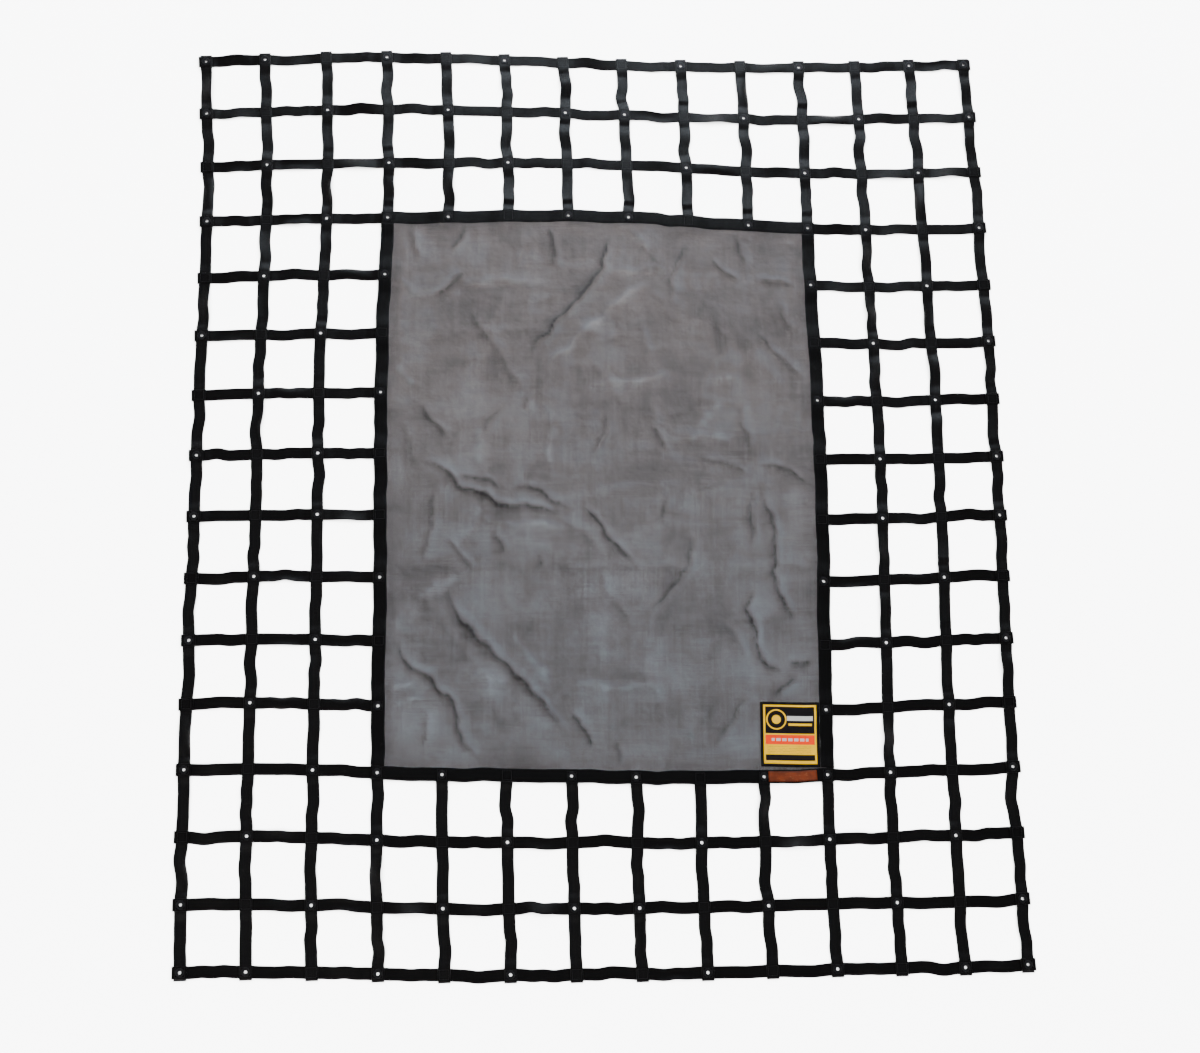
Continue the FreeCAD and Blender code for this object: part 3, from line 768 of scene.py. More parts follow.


# Folds that the cloth was packed with: column and row of each point of its line, rise in
# millimetres, half width in millimetres and how tightly the cloth is tucked along it, which also
# sets the fold's painted shade and painted light; a negative one is a loose fold with a painted
# sheen streak.
FOLDS = (
    ((6.65, 3.15, 6.6, 3.9, 6, 4.6, 5.6, 5.05, 5.3, 5.5), 7, 7, 1),
    ((7.6, 4.05, 7, 4.25, 6.5, 4.8, 5.9, 5.3, 5.5, 5.75), 7, 12, -0.35),
    ((4.4, 4.6, 4.7, 5.1, 5, 5.6, 5.3, 6), 4, 14, 0.45),
    ((3, 3.9, 3.7, 4.4), 5, 9, -0.3),
    ((3.75, 4.45, 4.1, 4.15, 4.35, 3.9), 5, 6, 0.8),
    ((4.1, 4.1, 5.6, 4.15), 4, 8, -0.4),
    ((6.7, 3.95, 7.4, 3.85, 7.7, 4), 4, 8, -0.4),
    ((8.3, 3.6, 8.6, 3.9, 8.85, 3.95), 4, 6, 0.6),
    ((9.1, 4, 9.8, 3.98), 4, 6, 0.6),
    ((5.72, 3.1, 5.78, 4), 4, 6, 0.6),
    ((8.82, 3.1, 8.88, 3.8), 4, 6, 0.6),
    ((7.95, 3.4, 7.7, 4.1, 7.65, 4.5), 4, 6, 0.6),
    ((4.35, 3.15, 4.05, 3.6), 4, 6, 0.7),
    ((3.4, 3.1, 3.55, 3.8), 4, 6, 0.5),
    ((7, 3.1, 7.4, 3.6), 4, 8, -0.3),
    ((6.2, 5.9, 7.8, 5.65), 4, 8, -0.4),
    ((8.3, 5.75, 8.8, 5.65), 4, 8, -0.4),
    ((3, 5.4, 3.7, 5.95), 4, 8, -0.4),
    ((9, 4.8, 9.3, 5.15, 9.9, 5.7), 4, 7, 0.6),
    ((9.4, 4.3, 9.7, 4.9), 4, 7, 0.5),
    ((7.2, 4.7, 7.25, 5.6), 3, 8, 0.3),
    ((8.3, 4.5, 8.6, 5, 8, 5.9), 4, 12, 0.35),
    ((8.75, 6.05, 8.85, 6.9), 4, 6, 0.6),
    ((8.5, 6, 8, 6.6), 3, 8, -0.4),
    ((7.4, 6.75, 8.7, 6.6), 4, 8, -0.4),
    ((7.35, 6.5, 7.5, 7), 4, 6, 0.6),
    ((9, 7.05, 9.6, 7.25, 9.8, 7.4), 4, 6, 0.6),
    ((8, 6.95, 8.9, 7.25), 4, 6, 0.5),
    ((3.65, 6.2, 3.85, 6.5, 4.1, 6.75), 4, 6, 0.6),
    ((4.95, 6.2, 4.6, 6.75), 4, 6, 0.5),
    ((5.4, 6.1, 5.3, 6.35), 3, 6, 0.5),
    ((6.6, 6.25, 6.55, 6.7, 6.4, 7.1), 4, 6, 0.5),
    ((4.5, 6.5, 4.6, 7.2), 3, 8, -0.35),
    ((5.7, 6.1, 5.7, 7.6), 3, 8, -0.35),
    ((3.6, 7, 4, 7.3, 4.4, 7.6, 5.05, 7.85, 6.1, 7.93), 8, 6, 1),
    ((4.14, 7.28, 4.93, 7.56), 4, 6, 0.7),
    ((5.08, 7.53, 5.36, 7.53, 6.05, 7.9), 5, 6, 0.8),
    ((6.2, 7.84, 6.68, 8.44, 7.05, 8.81), 7, 6, 0.9),
    ((4.5, 8.05, 5.2, 8.15, 6, 8.15), 5, 12, -0.4),
    ((2.8, 8.84, 3.7, 8.82, 4.3, 8.87, 4.9, 8.8, 5.6, 8.83), 2.4, 7, 0.3),
    ((5.5, 8.8, 6.2, 8.84, 7, 8.79, 7.8, 8.83, 8.2, 8.77), 2.2, 7, 0.34),
    ((8.1, 8.82, 9, 8.72, 10.1, 8.78), 2.2, 7, 0.22),
    ((3, 5.02, 5, 4.98, 7.4, 5.03), 1.5, 12, 0.14),
    ((5, 4.2, 4.7, 4.9, 5.1, 5.6), 3, 20, 0.22),
    ((6.9, 3.3, 6.6, 4.1, 5.9, 4.9), 3, 22, 0.2),
    ((8, 4.2, 8.8, 4.9, 9.6, 6.2), 3, 22, 0.2),
    ((3.3, 6.2, 3.5, 7, 4.2, 7.9), 3, 20, 0.24),
    ((4.2, 8, 5.4, 8.4, 6.6, 9), 3, 22, -0.16),
    ((3.4, 8.9, 4.6, 10.5, 5.2, 11.7), 3, 24, 0.22),
    ((6.2, 9.2, 6.6, 10.4, 6.4, 11.7), 3, 24, -0.14),
    ((7.9, 8.9, 7.2, 10.2, 7.6, 11.6), 3, 24, 0.2),
    ((8.3, 6.9, 7.7, 8, 7.3, 9.2), 3, 20, 0.18),
    ((7, 5.9, 7.6, 6.6, 9.3, 6.9), 3, 18, 0.2),
    ((9.6, 7.9, 9.3, 9, 9.7, 10), 3, 18, 0.2),
    ((4.74, 8.28, 5, 8.66), 4, 6, 0.6),
    ((4.08, 8.4, 4.46, 8.9), 4, 6, 0.6),
    ((5.46, 8.6, 5.5, 8.9), 4, 6, 0.5),
    ((3.9, 7.56, 3.68, 8.8), 4, 6, 0.5),
    ((4.05, 9.06, 4.14, 9.5, 4.68, 10.06, 5.24, 10.56, 5.6, 10.94, 6, 11.56), 9, 7, 1),
    ((5, 9.7, 5.74, 10.75), 6, 12, -0.45),
    ((6, 11, 6.4, 11.6), 5, 6, 0.8),
    ((3.17, 9.9, 3.55, 10.4, 4.1, 10.8, 4.36, 11.5, 4.68, 11.9), 7, 6, 0.9),
    ((3.5, 9.4, 4, 9.05), 4, 9, -0.35),
    ((3.1, 10.7, 3.6, 10.65), 4, 8, -0.35),
    ((3.2, 11, 3.75, 10.85), 4, 8, -0.35),
    ((7.6, 7.56, 7.45, 8.1), 4, 6, 0.5),
    ((8, 8.19, 7.8, 8.8, 7.2, 9.6), 5, 7, 0.6),
    ((8.5, 7.4, 7.9, 7.7), 4, 7, 0.4),
    ((8.9, 7.5, 8.86, 8.44), 4, 6, 0.6),
    ((9.05, 7.5, 9.27, 8.3, 9.18, 8.88, 9.3, 9.1, 9.55, 9.75), 8, 6, 0.95),
    ((8.96, 9.06, 8.8, 9.44, 9.05, 10.3, 9.4, 10.5), 5, 6, 0.85),
    ((9.55, 10.44, 9.33, 10.64, 9.15, 10.95), 6, 5, 1),
    ((9.36, 10.3, 9.86, 10.2), 4, 6, 0.6),
    ((8.36, 9.56, 8.8, 10.25), 4, 12, 0.4),
    ((8.8, 10.75, 8.2, 11.6), 4, 7, 0.5),
    ((6, 10.6, 7.55, 10.66), 4, 8, -0.4),
    ((3.74, 11, 3.74, 11.6), 4, 6, 0.5),
    ((6.74, 11.5, 6.74, 11.85), 4, 6, 0.5),
)


def small_folds(shape):
    """Seeded short creases all over the panel: most run with one of three pack directions."""
    rng = np.random.default_rng(shape.seed + 7)
    count = shape.small_folds
    middle = np.stack([rng.uniform(3.1, 9.9, count), rng.uniform(3.1, 11.9, count)], -1)
    lean = rng.choice(np.radians([90, 55, -50, 5]), count) + rng.normal(0, 0.35, count)
    reach = rng.gamma(2.5, 0.10, count) + 0.14
    run = np.stack([np.cos(lean), np.sin(lean)], -1) * reach[:, None]
    bow = rng.normal(0, 0.035, (count, 2))
    lines = np.stack([middle - run, middle + bow, middle + run], 1)
    rise = rng.gamma(2.0, 0.55, count)
    width = rng.uniform(5, 13, count)
    tuck_and_shade = np.clip(rng.normal(0.04, 0.13, count), -0.10, 0.35)
    return list(zip(lines, rise, width, tuck_and_shade))


def from_segment(points, start, end):
    """Distance from each point to a segment, the share of the way along it, and whether the
    point is on its left."""
    run, off = end - start, points - start
    share = np.clip((off @ run) / (run @ run), 0, 1)
    gap = np.linalg.norm(points - start - share[..., None] * run, axis=-1)
    return gap, share, run[0] * off[:, 1] - run[1] * off[:, 0] > 0


class Cloth:
    """Height, and tucking with its painted shade and sheen, of the mesh anywhere on the panel.
    Over a border it follows the strap under it, and inside it lies on the ground with folds: each
    fold is a rounded ridge of the given rise and half width, fading at its ends; the sum is held
    under a ceiling."""

    def __init__(self, shape, choices):
        self.shape = shape
        self.panel = Panel(choices)
        self.folds = list(FOLDS) + small_folds(shape)
        self.along = unit(CROSSING[PANEL_RIGHT, PANEL_FOOT - 1] - CROSSING[PANEL_RIGHT, PANEL_FOOT])
        self.across = np.array([self.along[1], -self.along[0]])
        self.label_middle = np.mean(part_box("label_backing"), axis=0)[:2]

    def border(self, column, row):
        """Share of border and border height at each point: the nearest sides count most."""
        total, weighed, clear = 0, 0, 1
        for name, crossings, pitch, along in (
                ("left", column - PANEL_LEFT, PITCH[0], row),
                ("right", PANEL_RIGHT - column, PITCH[0], row),
                ("head", row - PANEL_HEAD, PITCH[1], column),
                ("foot", PANEL_FOOT - row, PITCH[1], column)):
            height = self.panel.on_side(name, along, 2)
            weight = 1 - smooth((crossings * pitch - BORDER_HALF) / BORDER_FADE)
            total = total + weight
            weighed = weighed + weight * height
            clear = clear * (1 - weight)
        return 1 - clear, np.where(total > 0, weighed / np.maximum(total, 1e-9), 0)

    def label_share(self, plan):
        """1 under the label, falling to 0 round it."""
        offset = plan - self.label_middle
        along = np.abs(offset @ self.along) - LABEL_HALF[0]
        across = np.abs(offset @ self.across) - LABEL_HALF[1]
        return 1 - smooth(np.maximum(along, across) / LABEL_FADE)

    def folded(self, where):
        """Summed rise, and tucking with its painted shade and sheen, of all folds. A fold is steep
        on the left of its line and slack on its right.
        A tight one has a sharp dark mark on its line, partly doubled cloth and partly painted
        shade, a bank of painted shade on the steep side and a bank of painted light on the slack
        side; a loose one is a pale, uneven streak of painted sheen."""
        ridge = np.zeros(where.shape[:-1])
        tuck_and_shade = np.zeros(where.shape[:-1])
        for line, rise, width, tight in self.folds:
            points = np.reshape(line, (-1, 2)) * PITCH
            runs = np.linalg.norm(np.diff(points, axis=0), axis=1)
            near = np.all((where > points.min(0) - FOLD_REACH)
                          & (where < points.max(0) + FOLD_REACH), axis=-1)
            if not near.any():
                continue
            spot = where[near]
            best = np.full(len(spot), np.inf)
            share = np.zeros(len(spot))
            steep = np.ones(len(spot), bool)
            done = 0.0
            for start, end, run in zip(points, points[1:], runs):
                gap, part, left = from_segment(spot, start, end)
                closer = gap < best
                best = np.where(closer, gap, best)
                steep = np.where(closer, left, steep)
                share = np.where(closer, (done + part * run) / runs.sum(), share)
                done += run
            fade = smooth(share / 0.22) * smooth((1 - share) / 0.26)
            spread = width * 0.001 * np.where(steep, 0.7, 1.6)
            bell = np.exp(-(np.sqrt(best**2 + 4e-6) - 0.002) / spread) * (best < FOLD_REACH)
            ridge[near] += rise * 0.001 * self.shape.fold_gain * bell * fade
            # The dark mark on the line is partly doubled cloth and partly painted shade; the dark
            # bank on the steep side is painted shade, the pale bank on the slack side painted
            # light, and a loose fold's streak painted sheen.
            if tight > 0:
                crisp = min(tight * 1.6, 1.0)
                mark = 0.70 * crisp * np.exp(-(best / 0.0036)**2)
                mark += np.where(steep, 0.50 * np.exp(-(best / (0.0020 * width))**2),
                                 -0.36 * np.exp(-((best - 0.010) / 0.009)**2))
            else:
                mark = np.exp(-(best / 0.0085)**2) * (0.75 + 0.35 * np.sin(share * 23 + done * 90))
            tuck_and_shade[near] += tight * mark * fade
        return ridge, tuck_and_shade

    def height(self, column, row):
        """Plan, height, and tucking with its painted shade and sheen, of the cloth at the given
        crossings.
        Sines bend the lines of the folds and roll the cloth between them."""
        plan = self.panel.plan(column, row)
        where = np.stack([column, row], -1) * PITCH
        drift, flow = where[..., 0], where[..., 1]
        broad = np.stack([np.sin(flow * 61 + 1.6 * np.sin(drift * 37)),
                          np.sin(drift * 53 + 1.9 * np.sin(flow * 31))], -1)
        fine = np.stack([np.sin(flow * 173 + 1), np.sin(drift * 167 + 4)], -1)
        ridge, tuck_and_shade = self.folded(where + (0.0042 * broad + 0.0016 * fine))
        x, y = plan[..., 0], plan[..., 1]
        roll = (np.sin(x * 31 + 2.1 * np.sin(y * 17)) + np.sin(y * 39 + 1.7 * np.sin(x * 23 + 1))
                + 0.6 * np.sin(x * 71 + y * 44) + 0.5 * np.sin(x * 57 - y * 83 + 2))
        inner = np.maximum(MESH_REST + 0.0004 * roll + ridge, MESH_LEAST)
        inner = MESH_CEILING * np.tanh(inner / MESH_CEILING)
        flat = self.label_share(plan)
        inner = inner * (1 - flat) + (0.0020 + 0.0004 * np.sin(x * 40)) * flat
        tuck_and_shade = tuck_and_shade * (1 - flat)
        share, border = self.border(column, row)
        z = inner * (1 - share) + border * share
        return plan, z, np.clip(tuck_and_shade * (1 - share) + 0.2 * share, -0.4, 1.0)


def panel_grid(cloth):
    """The panel's sample grid in crossings, with three more lines of points outside each
    side, the last at the mesh's cut edge, past the middle of its border strap."""
    past = np.array([1.0, 0.8, 0.6]) * MESH_MARGIN
    columns, rows = (np.pad(np.linspace(first, last, (last - first) * PANEL_STEPS + 1),
                            len(past), mode="edge")
                     for first, last in ((PANEL_LEFT, PANEL_RIGHT), (PANEL_HEAD, PANEL_FOOT)))
    c, r = np.meshgrid(columns, rows, indexing="ij")
    plan, z, tuck_and_shade = cloth.height(c, r)
    before, after = slice(0, 3), slice(-3, None)
    for side, line, reach in (("left", before, past), ("right", after, past[::-1])):
        plan[line] += cloth.panel.on_side(side, rows, 1)[None] * reach[:, None, None]
    for side, line, reach in (("head", before, past), ("foot", after, past[::-1])):
        plan[:, line] += cloth.panel.on_side(side, columns, 1)[:, None] * reach[None, :, None]
    return c, r, plan, z, tuck_and_shade


def open_holes(surface, holes):
    """Leaves out the four cells round each hole and moves their eight outer points on to a
    circle. Returns the points' numbers, which cells stay and each hole's loop of points."""
    nu, nv = surface.shape[:2]
    index = np.arange(nu * nv).reshape(nu, nv)
    keep = np.ones((nu - 1, nv - 1), bool)
    sin, cos = np.sin(ROUND_TURN)[:, None], np.cos(ROUND_TURN)[:, None]
    loops = []
    for i, j in holes:
        ahead = unit(surface[i + 1, j] - surface[i - 1, j])[:2]
        beside = unit(surface[i, j + 1] - surface[i, j - 1])[:2]
        spots = i + ROUND_ROWS, j + ROUND_LANES
        moved = surface[i, j, :2] + CUT_R * (sin * ahead + cos * beside)
        surface[spots] = np.column_stack([moved, np.full(len(moved), surface[i, j, 2])])
        keep[i - 1:i + 1, j - 1:j + 1] = False
        loops.append(index[spots])
    return index, keep, loops


def slab(surface, thick, holes=()):
    """A closed cloth over a grid of points: one face half the thickness above along the
    surface's own normal, one as far below, joined round the rim and round each hole."""
    surface = surface.copy()
    index, keep, loops = open_holes(surface, holes)
    normal = unit(np.cross(np.gradient(surface, axis=0), np.gradient(surface, axis=1)))
    if normal[..., 2].mean() <= 0:
        normal = -normal
    top = (surface + normal * thick / 2).reshape(-1, 3)
    bottom = (surface - normal * thick / 2).reshape(-1, 3)
    upper = np.stack([index[:-1, :-1], index[1:, :-1], index[1:, 1:], index[:-1, 1:]], -1)[keep]
    faces = [upper, upper[:, ::-1] + len(top)]
    for loop in [rim_of(index)[:-1]] + loops:
        after = np.roll(loop, -1)
        faces.append(np.stack([after, loop, loop + len(top), after + len(top)], -1))
    return np.concatenate([top, bottom]), np.concatenate(faces)


def rim_of(grid):
    """A grid's outermost values in order round it, back to the first one."""
    return np.concatenate([grid[:, 0], grid[-1, 1:], grid[-2::-1, -1], grid[0, -2::-1]])


# ---- sewing -----------------------------------------------------------------------------
def stitches(centres, directions, ups, length, width, rise):
    """One stitch at each place: a closed bead of four-sided sections, widest in the middle
    and sunk at both ends, with its length along the direction given."""
    along = np.array([-0.5, -0.28, 0.28, 0.5]) * length
    swell = np.array([0.35, 1.0, 1.0, 0.35])
    sink = np.array([-0.33, 0.0, 0.0, -0.33])
    section = np.array([[-0.5, 0.05], [-0.28, 0.8], [0.28, 0.8], [0.5, 0.05]])
    across = section[None, :, 0] * width * swell[:, None]
    up = (section[None, :, 1] * swell[:, None] + sink[:, None]) * rise
    up[:, [0, 3]] = -0.35 * rise
    shape = np.stack([np.repeat(along[:, None], 4, 1), across, up], -1).reshape(-1, 3)
    directions = unit(directions)
    sides = np.cross(ups, directions)
    vertices = (centres[:, None] + shape[None, :, :1] * directions[:, None]
                + shape[None, :, 1:2] * sides[:, None] + shape[None, :, 2:] * ups[:, None])
    vertices = vertices.reshape(-1, 3)
    ring = np.arange(16).reshape(4, 4)
    after = np.roll(ring, -1, 1)
    quads = np.stack([ring[:-1], ring[1:], after[1:], after[:-1]], -1).reshape(-1, 4)
    quads = np.concatenate([quads, ring[:1], ring[-1:, ::-1]])
    return vertices, outward(vertices, repeated(shape, quads, len(centres)))


def stitch_run(points, length, rise):
    """Upright stitches end to end along a line of points, each turned along the line."""
    gap, width = 0.0006, 0.0008
    step = np.linalg.norm(np.diff(points, axis=0), axis=1)
    arc = np.concatenate([[0], np.cumsum(step)])
    count = max(int(arc[-1] / (length + gap)), 1)
    at = (np.arange(count) + 0.5) * arc[-1] / count
    reach = length * 0.45
    where, far, near = (np.stack([np.interp(at + way, arc, points[:, k]) for k in range(3)], -1)
                        for way in (0, reach, -reach))
    ahead = unit(far - near)
    up = unit(UP - ahead * ahead[:, 2:])
    return stitches(where, ahead, up, length, width, rise)


def joined(parts):
    """Several shapes' points and faces as one."""
    starts = np.cumsum([0] + [len(points) for points, _ in parts])
    return (np.concatenate([points for points, _ in parts]),
            np.concatenate([quads + start for (_, quads), start in zip(parts, starts)]))


def lathe(profile, centres):
    """A closed profile of radius and height turned round an upright axis at each centre."""
    turn = np.linspace(0, 2 * np.pi, TURNED_SEGMENTS, endpoint=False)
    radius, height = profile[:, None, 0], profile[:, None, 1]
    ring = np.stack(np.broadcast_arrays(radius * np.cos(turn), radius * np.sin(turn), height), -1)
    index = np.arange(ring.size // 3).reshape(ring.shape[:2])
    after = np.roll(index, -1, 0)
    quads = np.stack([index, np.roll(index, -1, 1), np.roll(after, -1, 1), after], -1)
    ring = ring.reshape(-1, 3)
    vertices = (centres[:, None] + ring[None]).reshape(-1, 3)
    return vertices, outward(vertices, repeated(ring, quads.reshape(-1, 4), len(centres)))


def add_thread(name, sewn, colours, node):
    """A piece of sewing thread, from its stitches' points and faces."""
    thread = material_of("sewing thread", twisted_thread, colours.thread)
    add_piece(name, *sewn, None, thread, node, "thread", turn=False)


def binding_line(name, choices):
    """Middle line of a binding tape over the mesh. Head and foot tapes run on over the
    corners; side tapes stop against them."""
    plan, _, height, heading = border_side(name, choices)
    middle = np.column_stack([plan, height + BINDING_OVER_MESH])
    side = np.column_stack([-heading[:, 1], heading[:, 0], np.zeros(len(heading))])
    kind, index, _ = SIDES[name]
    holed = of_strap(HAS_EYELET, kind, index)
    if kind == "cross":
        marks = [(k - PANEL_LEFT) * STEPS for k in range(PANEL_LEFT, PANEL_RIGHT + 1) if holed[k]]
        steps = np.append(END_STEPS, BINDING_WIDTH / 2)
        head, tail = (sewn_end(middle[end], way * heading[end], steps)
                      for end, way in ((0, -1), (-1, 1)))
        middle = np.concatenate([head[::-1], middle, tail])
        side = np.pad(side, ((len(steps), len(steps)), (0, 0)), mode="edge")
        shift = len(steps)
    else:
        marks = [(k - PANEL_HEAD) * STEPS for k in range(PANEL_HEAD + 1, PANEL_FOOT) if holed[k]]
        cut, stop = 5, np.array([BINDING_WIDTH / 2 + 0.0002])
        middle = np.concatenate([sewn_end(middle[0], heading[0], stop), middle[cut:-cut],
                                 sewn_end(middle[-1], -heading[-1], stop)])
        side = np.concatenate([side[:1], side[cut:-cut], side[-1:]])
        shift = 1 - cut
    flat = np.zeros(len(middle))
    return Line(middle, side, flat, flat - 0.02, [mark + shift for mark in marks])


def label_cloth(cloth, width, length, lift, thick, step):
    """A flat rectangle laid on the panel: its plan keeps its size, and its height is the
    cloth's own plus a lift. Returns its points, faces, UVs and the surface it lies along."""
    nu, nv = int(round(width / step)) + 1, int(round(length / step)) + 1
    a, b = np.meshgrid(np.linspace(-width / 2, width / 2, nu),
                       np.linspace(-length / 2, length / 2, nv), indexing="ij")
    plan = cloth.label_middle + a[..., None] * cloth.across + b[..., None] * cloth.along
    at = cloth.panel.crossings_of(plan)
    _, z, _ = cloth.height(at[..., 0], at[..., 1])
    surface = np.concatenate([plan, (z + lift)[..., None]], -1)
    uv = np.tile(np.stack([a + width / 2, b + length / 2], -1).reshape(-1, 2), (2, 1))
    return (*slab(surface, thick), uv, surface)


# ---- what a user may change -------------------------------------------------------------
def length_property(name, description, default, least):
    return FloatProperty(name=name, description=description, default=default, min=least,
                         subtype="DISTANCE", unit="LENGTH")


def colour_property(name, description, default):
    return FloatVectorProperty(name=name, description=description, default=default,
                               subtype="COLOR", size=3)


class NetShape(bpy.types.PropertyGroup):
    """Sizes and slackness of the net's cloth."""
    seed: IntProperty(name="Seed", description="Picks the random waves and creases", default=11)
    arch: FloatProperty(name="Strap arches", description="How high slack straps stand between "
                        "crossings, times the usual", default=1.0, min=0.0, max=1.6)
    fold_gain: FloatProperty(name="Fold height", description="Height of the mesh folds, times "
                             "the usual", default=0.95, min=0.0, max=1.5)
    small_folds: IntProperty(name="Small creases", description="Number of short creases in the "
                             "mesh", default=200, min=0)
    weave_pitch: length_property("Weave pitch", "Distance between neighbouring mesh threads",
                                 0.0016, 0.0005)
    weave_edge: FloatProperty(name="Weave tightness", description="Share of the weave wave "
                              "that thread covers", default=0.788, min=0.0, max=1.0)
    stitch: length_property("Stitch length", "Length of one stitch", 0.0028, 0.001)


class NetColours(bpy.types.PropertyGroup):
    """Colours of the net's finishes."""
    webbing: colour_property("Webbing", "Colour of the straps", (0.0115, 0.0092, 0.0094))
    binding: colour_property("Binding", "Colour of the binding tapes", (0.0105, 0.0088, 0.0092))
    mesh: colour_property("Mesh", "Colour of the mesh threads", (0.215, 0.186, 0.182))
    thread: colour_property("Thread", "Colour of the sewing thread", (0.013, 0.012, 0.012))
    eyelet: colour_property("Eyelets", "Colour of the black metal", (0.026, 0.025, 0.027))
    label: colour_property("Label", "Ground colour of the sewn label", (1.0, 0.55, 0.002))
    band: colour_property("Label band", "Colour of the label's band", (1.0, 0.05, 0.002))
    tag: colour_property("Load tag", "Colour of the tag on the foot binding",
                         (0.130, 0.0215, 0.004))


def settings():
    """The sizes and the colours that a user may change."""
    scene = bpy.context.scene
    return scene.net_shape, scene.net_colours


# ---- operators --------------------------------------------------------------------------
class NET_OT_straps(bpy.types.Operator):
    """Weave all lengthwise and crosswise straps, with their ends wrapped round the border"""
    bl_idname = "net.straps"
    bl_label = "Webbing straps"

    def execute(self, context):
        shape, colours = settings()
        choices = span_choices(shape)
        finishes = {"long": (0.0, 0.21), "cross": (3.7, 0.13)}   # dye shift and gloss
        for kind, index, first, last, node in strap_list():
            material = material_of(f"webbing {kind}", woven_tape, colours.webbing, 0.0019, 0.0016,
                                   WEB_WIDTH, *finishes[kind])
            line = full_line(kind, index, first, last, choices)
            add_piece(node.replace("strap", "webbing"), *sweep(line, WEB_WIDTH, WEB_THICK),
                      material, node, "webbing")
        return {"FINISHED"}


class NET_OT_mesh(bpy.types.Operator):
    """Lay the creased mesh panel inside its border"""
    bl_idname = "net.mesh"
    bl_label = "Mesh panel"

    def execute(self, context):
        shape, colours = settings()
        c, r, plan, z, tuck_and_shade = panel_grid(Cloth(shape, span_choices(shape)))
        surface = np.concatenate([plan, z[..., None]], -1)
        holes = (np.argwhere(HAS_EYELET & IN_PANEL) - (PANEL_LEFT, PANEL_HEAD)) * PANEL_STEPS + 3
        vertices, faces = slab(surface, MESH_THICK, holes)
        uv = np.tile((np.stack([c, r], -1) * PITCH).reshape(-1, 2), (2, 1))
        tucks_and_shade = np.tile(tuck_and_shade.reshape(-1), 2)
        vertices, faces, uv, tucks_and_shade = compact(vertices, faces, uv, tucks_and_shade)
        vertices[:, 2] = np.maximum(vertices[:, 2], LEAST_MESH_Z)
        piece = add_piece("mesh_cloth", vertices, faces, uv,
                          material_of("mesh cloth", open_mesh, shape, colours.mesh),
                          "mesh_panel", "mesh", {"tuck_and_shade": tucks_and_shade})
        return {"FINISHED"}


class NET_OT_bindings(bpy.types.Operator):
    """Lay the four binding tapes over the edges of the mesh"""
    bl_idname = "net.bindings"
    bl_label = "Binding tapes"

    def execute(self, context):
        shape, colours = settings()
        material = material_of("binding tape", woven_tape, colours.binding, 0.0015, 0.0012,
                               BINDING_WIDTH, 8.1, 0.12)
        for name in ("head", "foot", "left", "right"):
            line = binding_line(name, span_choices(shape))
            add_piece(f"binding_tape_{name}", *sweep(line, BINDING_WIDTH, BINDING_THICK),
                      material, f"panel_binding_{name}", "binding_tape")
        return {"FINISHED"}


class NET_OT_crossing_stitches(bpy.types.Operator):
    """Sew a square of stitches round every crossing"""
    bl_idname = "net.crossing_stitches"
    bl_label = "Crossing stitches"

    def execute(self, context):
        shape, colours = settings()
        column, row = np.nonzero(np.isfinite(CROSSING[..., 0]))
        here = CROSSING[column, row]
        above = CROSSING[column, np.maximum(row - 1, 0)]
        below = CROSSING[column, np.minimum(row + 1, ROWS - 1)]
        above = np.where(np.isfinite(above), above, here)
        below = np.where(np.isfinite(below), below, here)
        along = unit(above - below)
        across = np.stack([along[:, 1], -along[:, 0]], -1)
        level = STITCH_LOW[column, row, 2] - SETTLE[column, row]
        half = STITCH_LINE_HALF
        spots = (np.arange(BOX_STITCHES) + 0.5) / BOX_STITCHES * 2 * half - half
        centres, directions = [], []
        for out, way in ((across, along), (along, across)):
            for side in (half, -half):
                for spot in spots:
                    centres.append(np.column_stack([here + out * side + way * spot, level]))
                    directions.append(np.column_stack([way, np.zeros(len(way))]))
        centres, directions = np.concatenate(centres), np.concatenate(directions)
        ups = np.broadcast_to(UP, centres.shape)
        sewn = stitches(centres, directions, ups, shape.stitch, 0.0009, 0.0005)
        add_thread("crossing_box_stitches", sewn, colours, "crossing_stitching")
        return {"FINISHED"}


class NET_OT_panel_stitches(bpy.types.Operator):
    """Sew the binding tapes down with two lines of stitches each"""
    bl_idname = "net.panel_stitches"
    bl_label = "Panel seams"

    def execute(self, context):
        shape, colours = settings()
        parts = []
        for name in ("head", "foot", "left", "right"):
            line = binding_line(name, span_choices(shape))
            for offset in (-SEAM_OFFSET, SEAM_OFFSET):
                points = line.middle + line.side * offset
                points[:, 2] += BINDING_THICK / 2 - 0.0001
                parts.append(stitch_run(points, shape.stitch, 0.00045))
        add_thread("panel_seam_stitches", joined(parts), colours, "panel_seam_stitching")
        return {"FINISHED"}


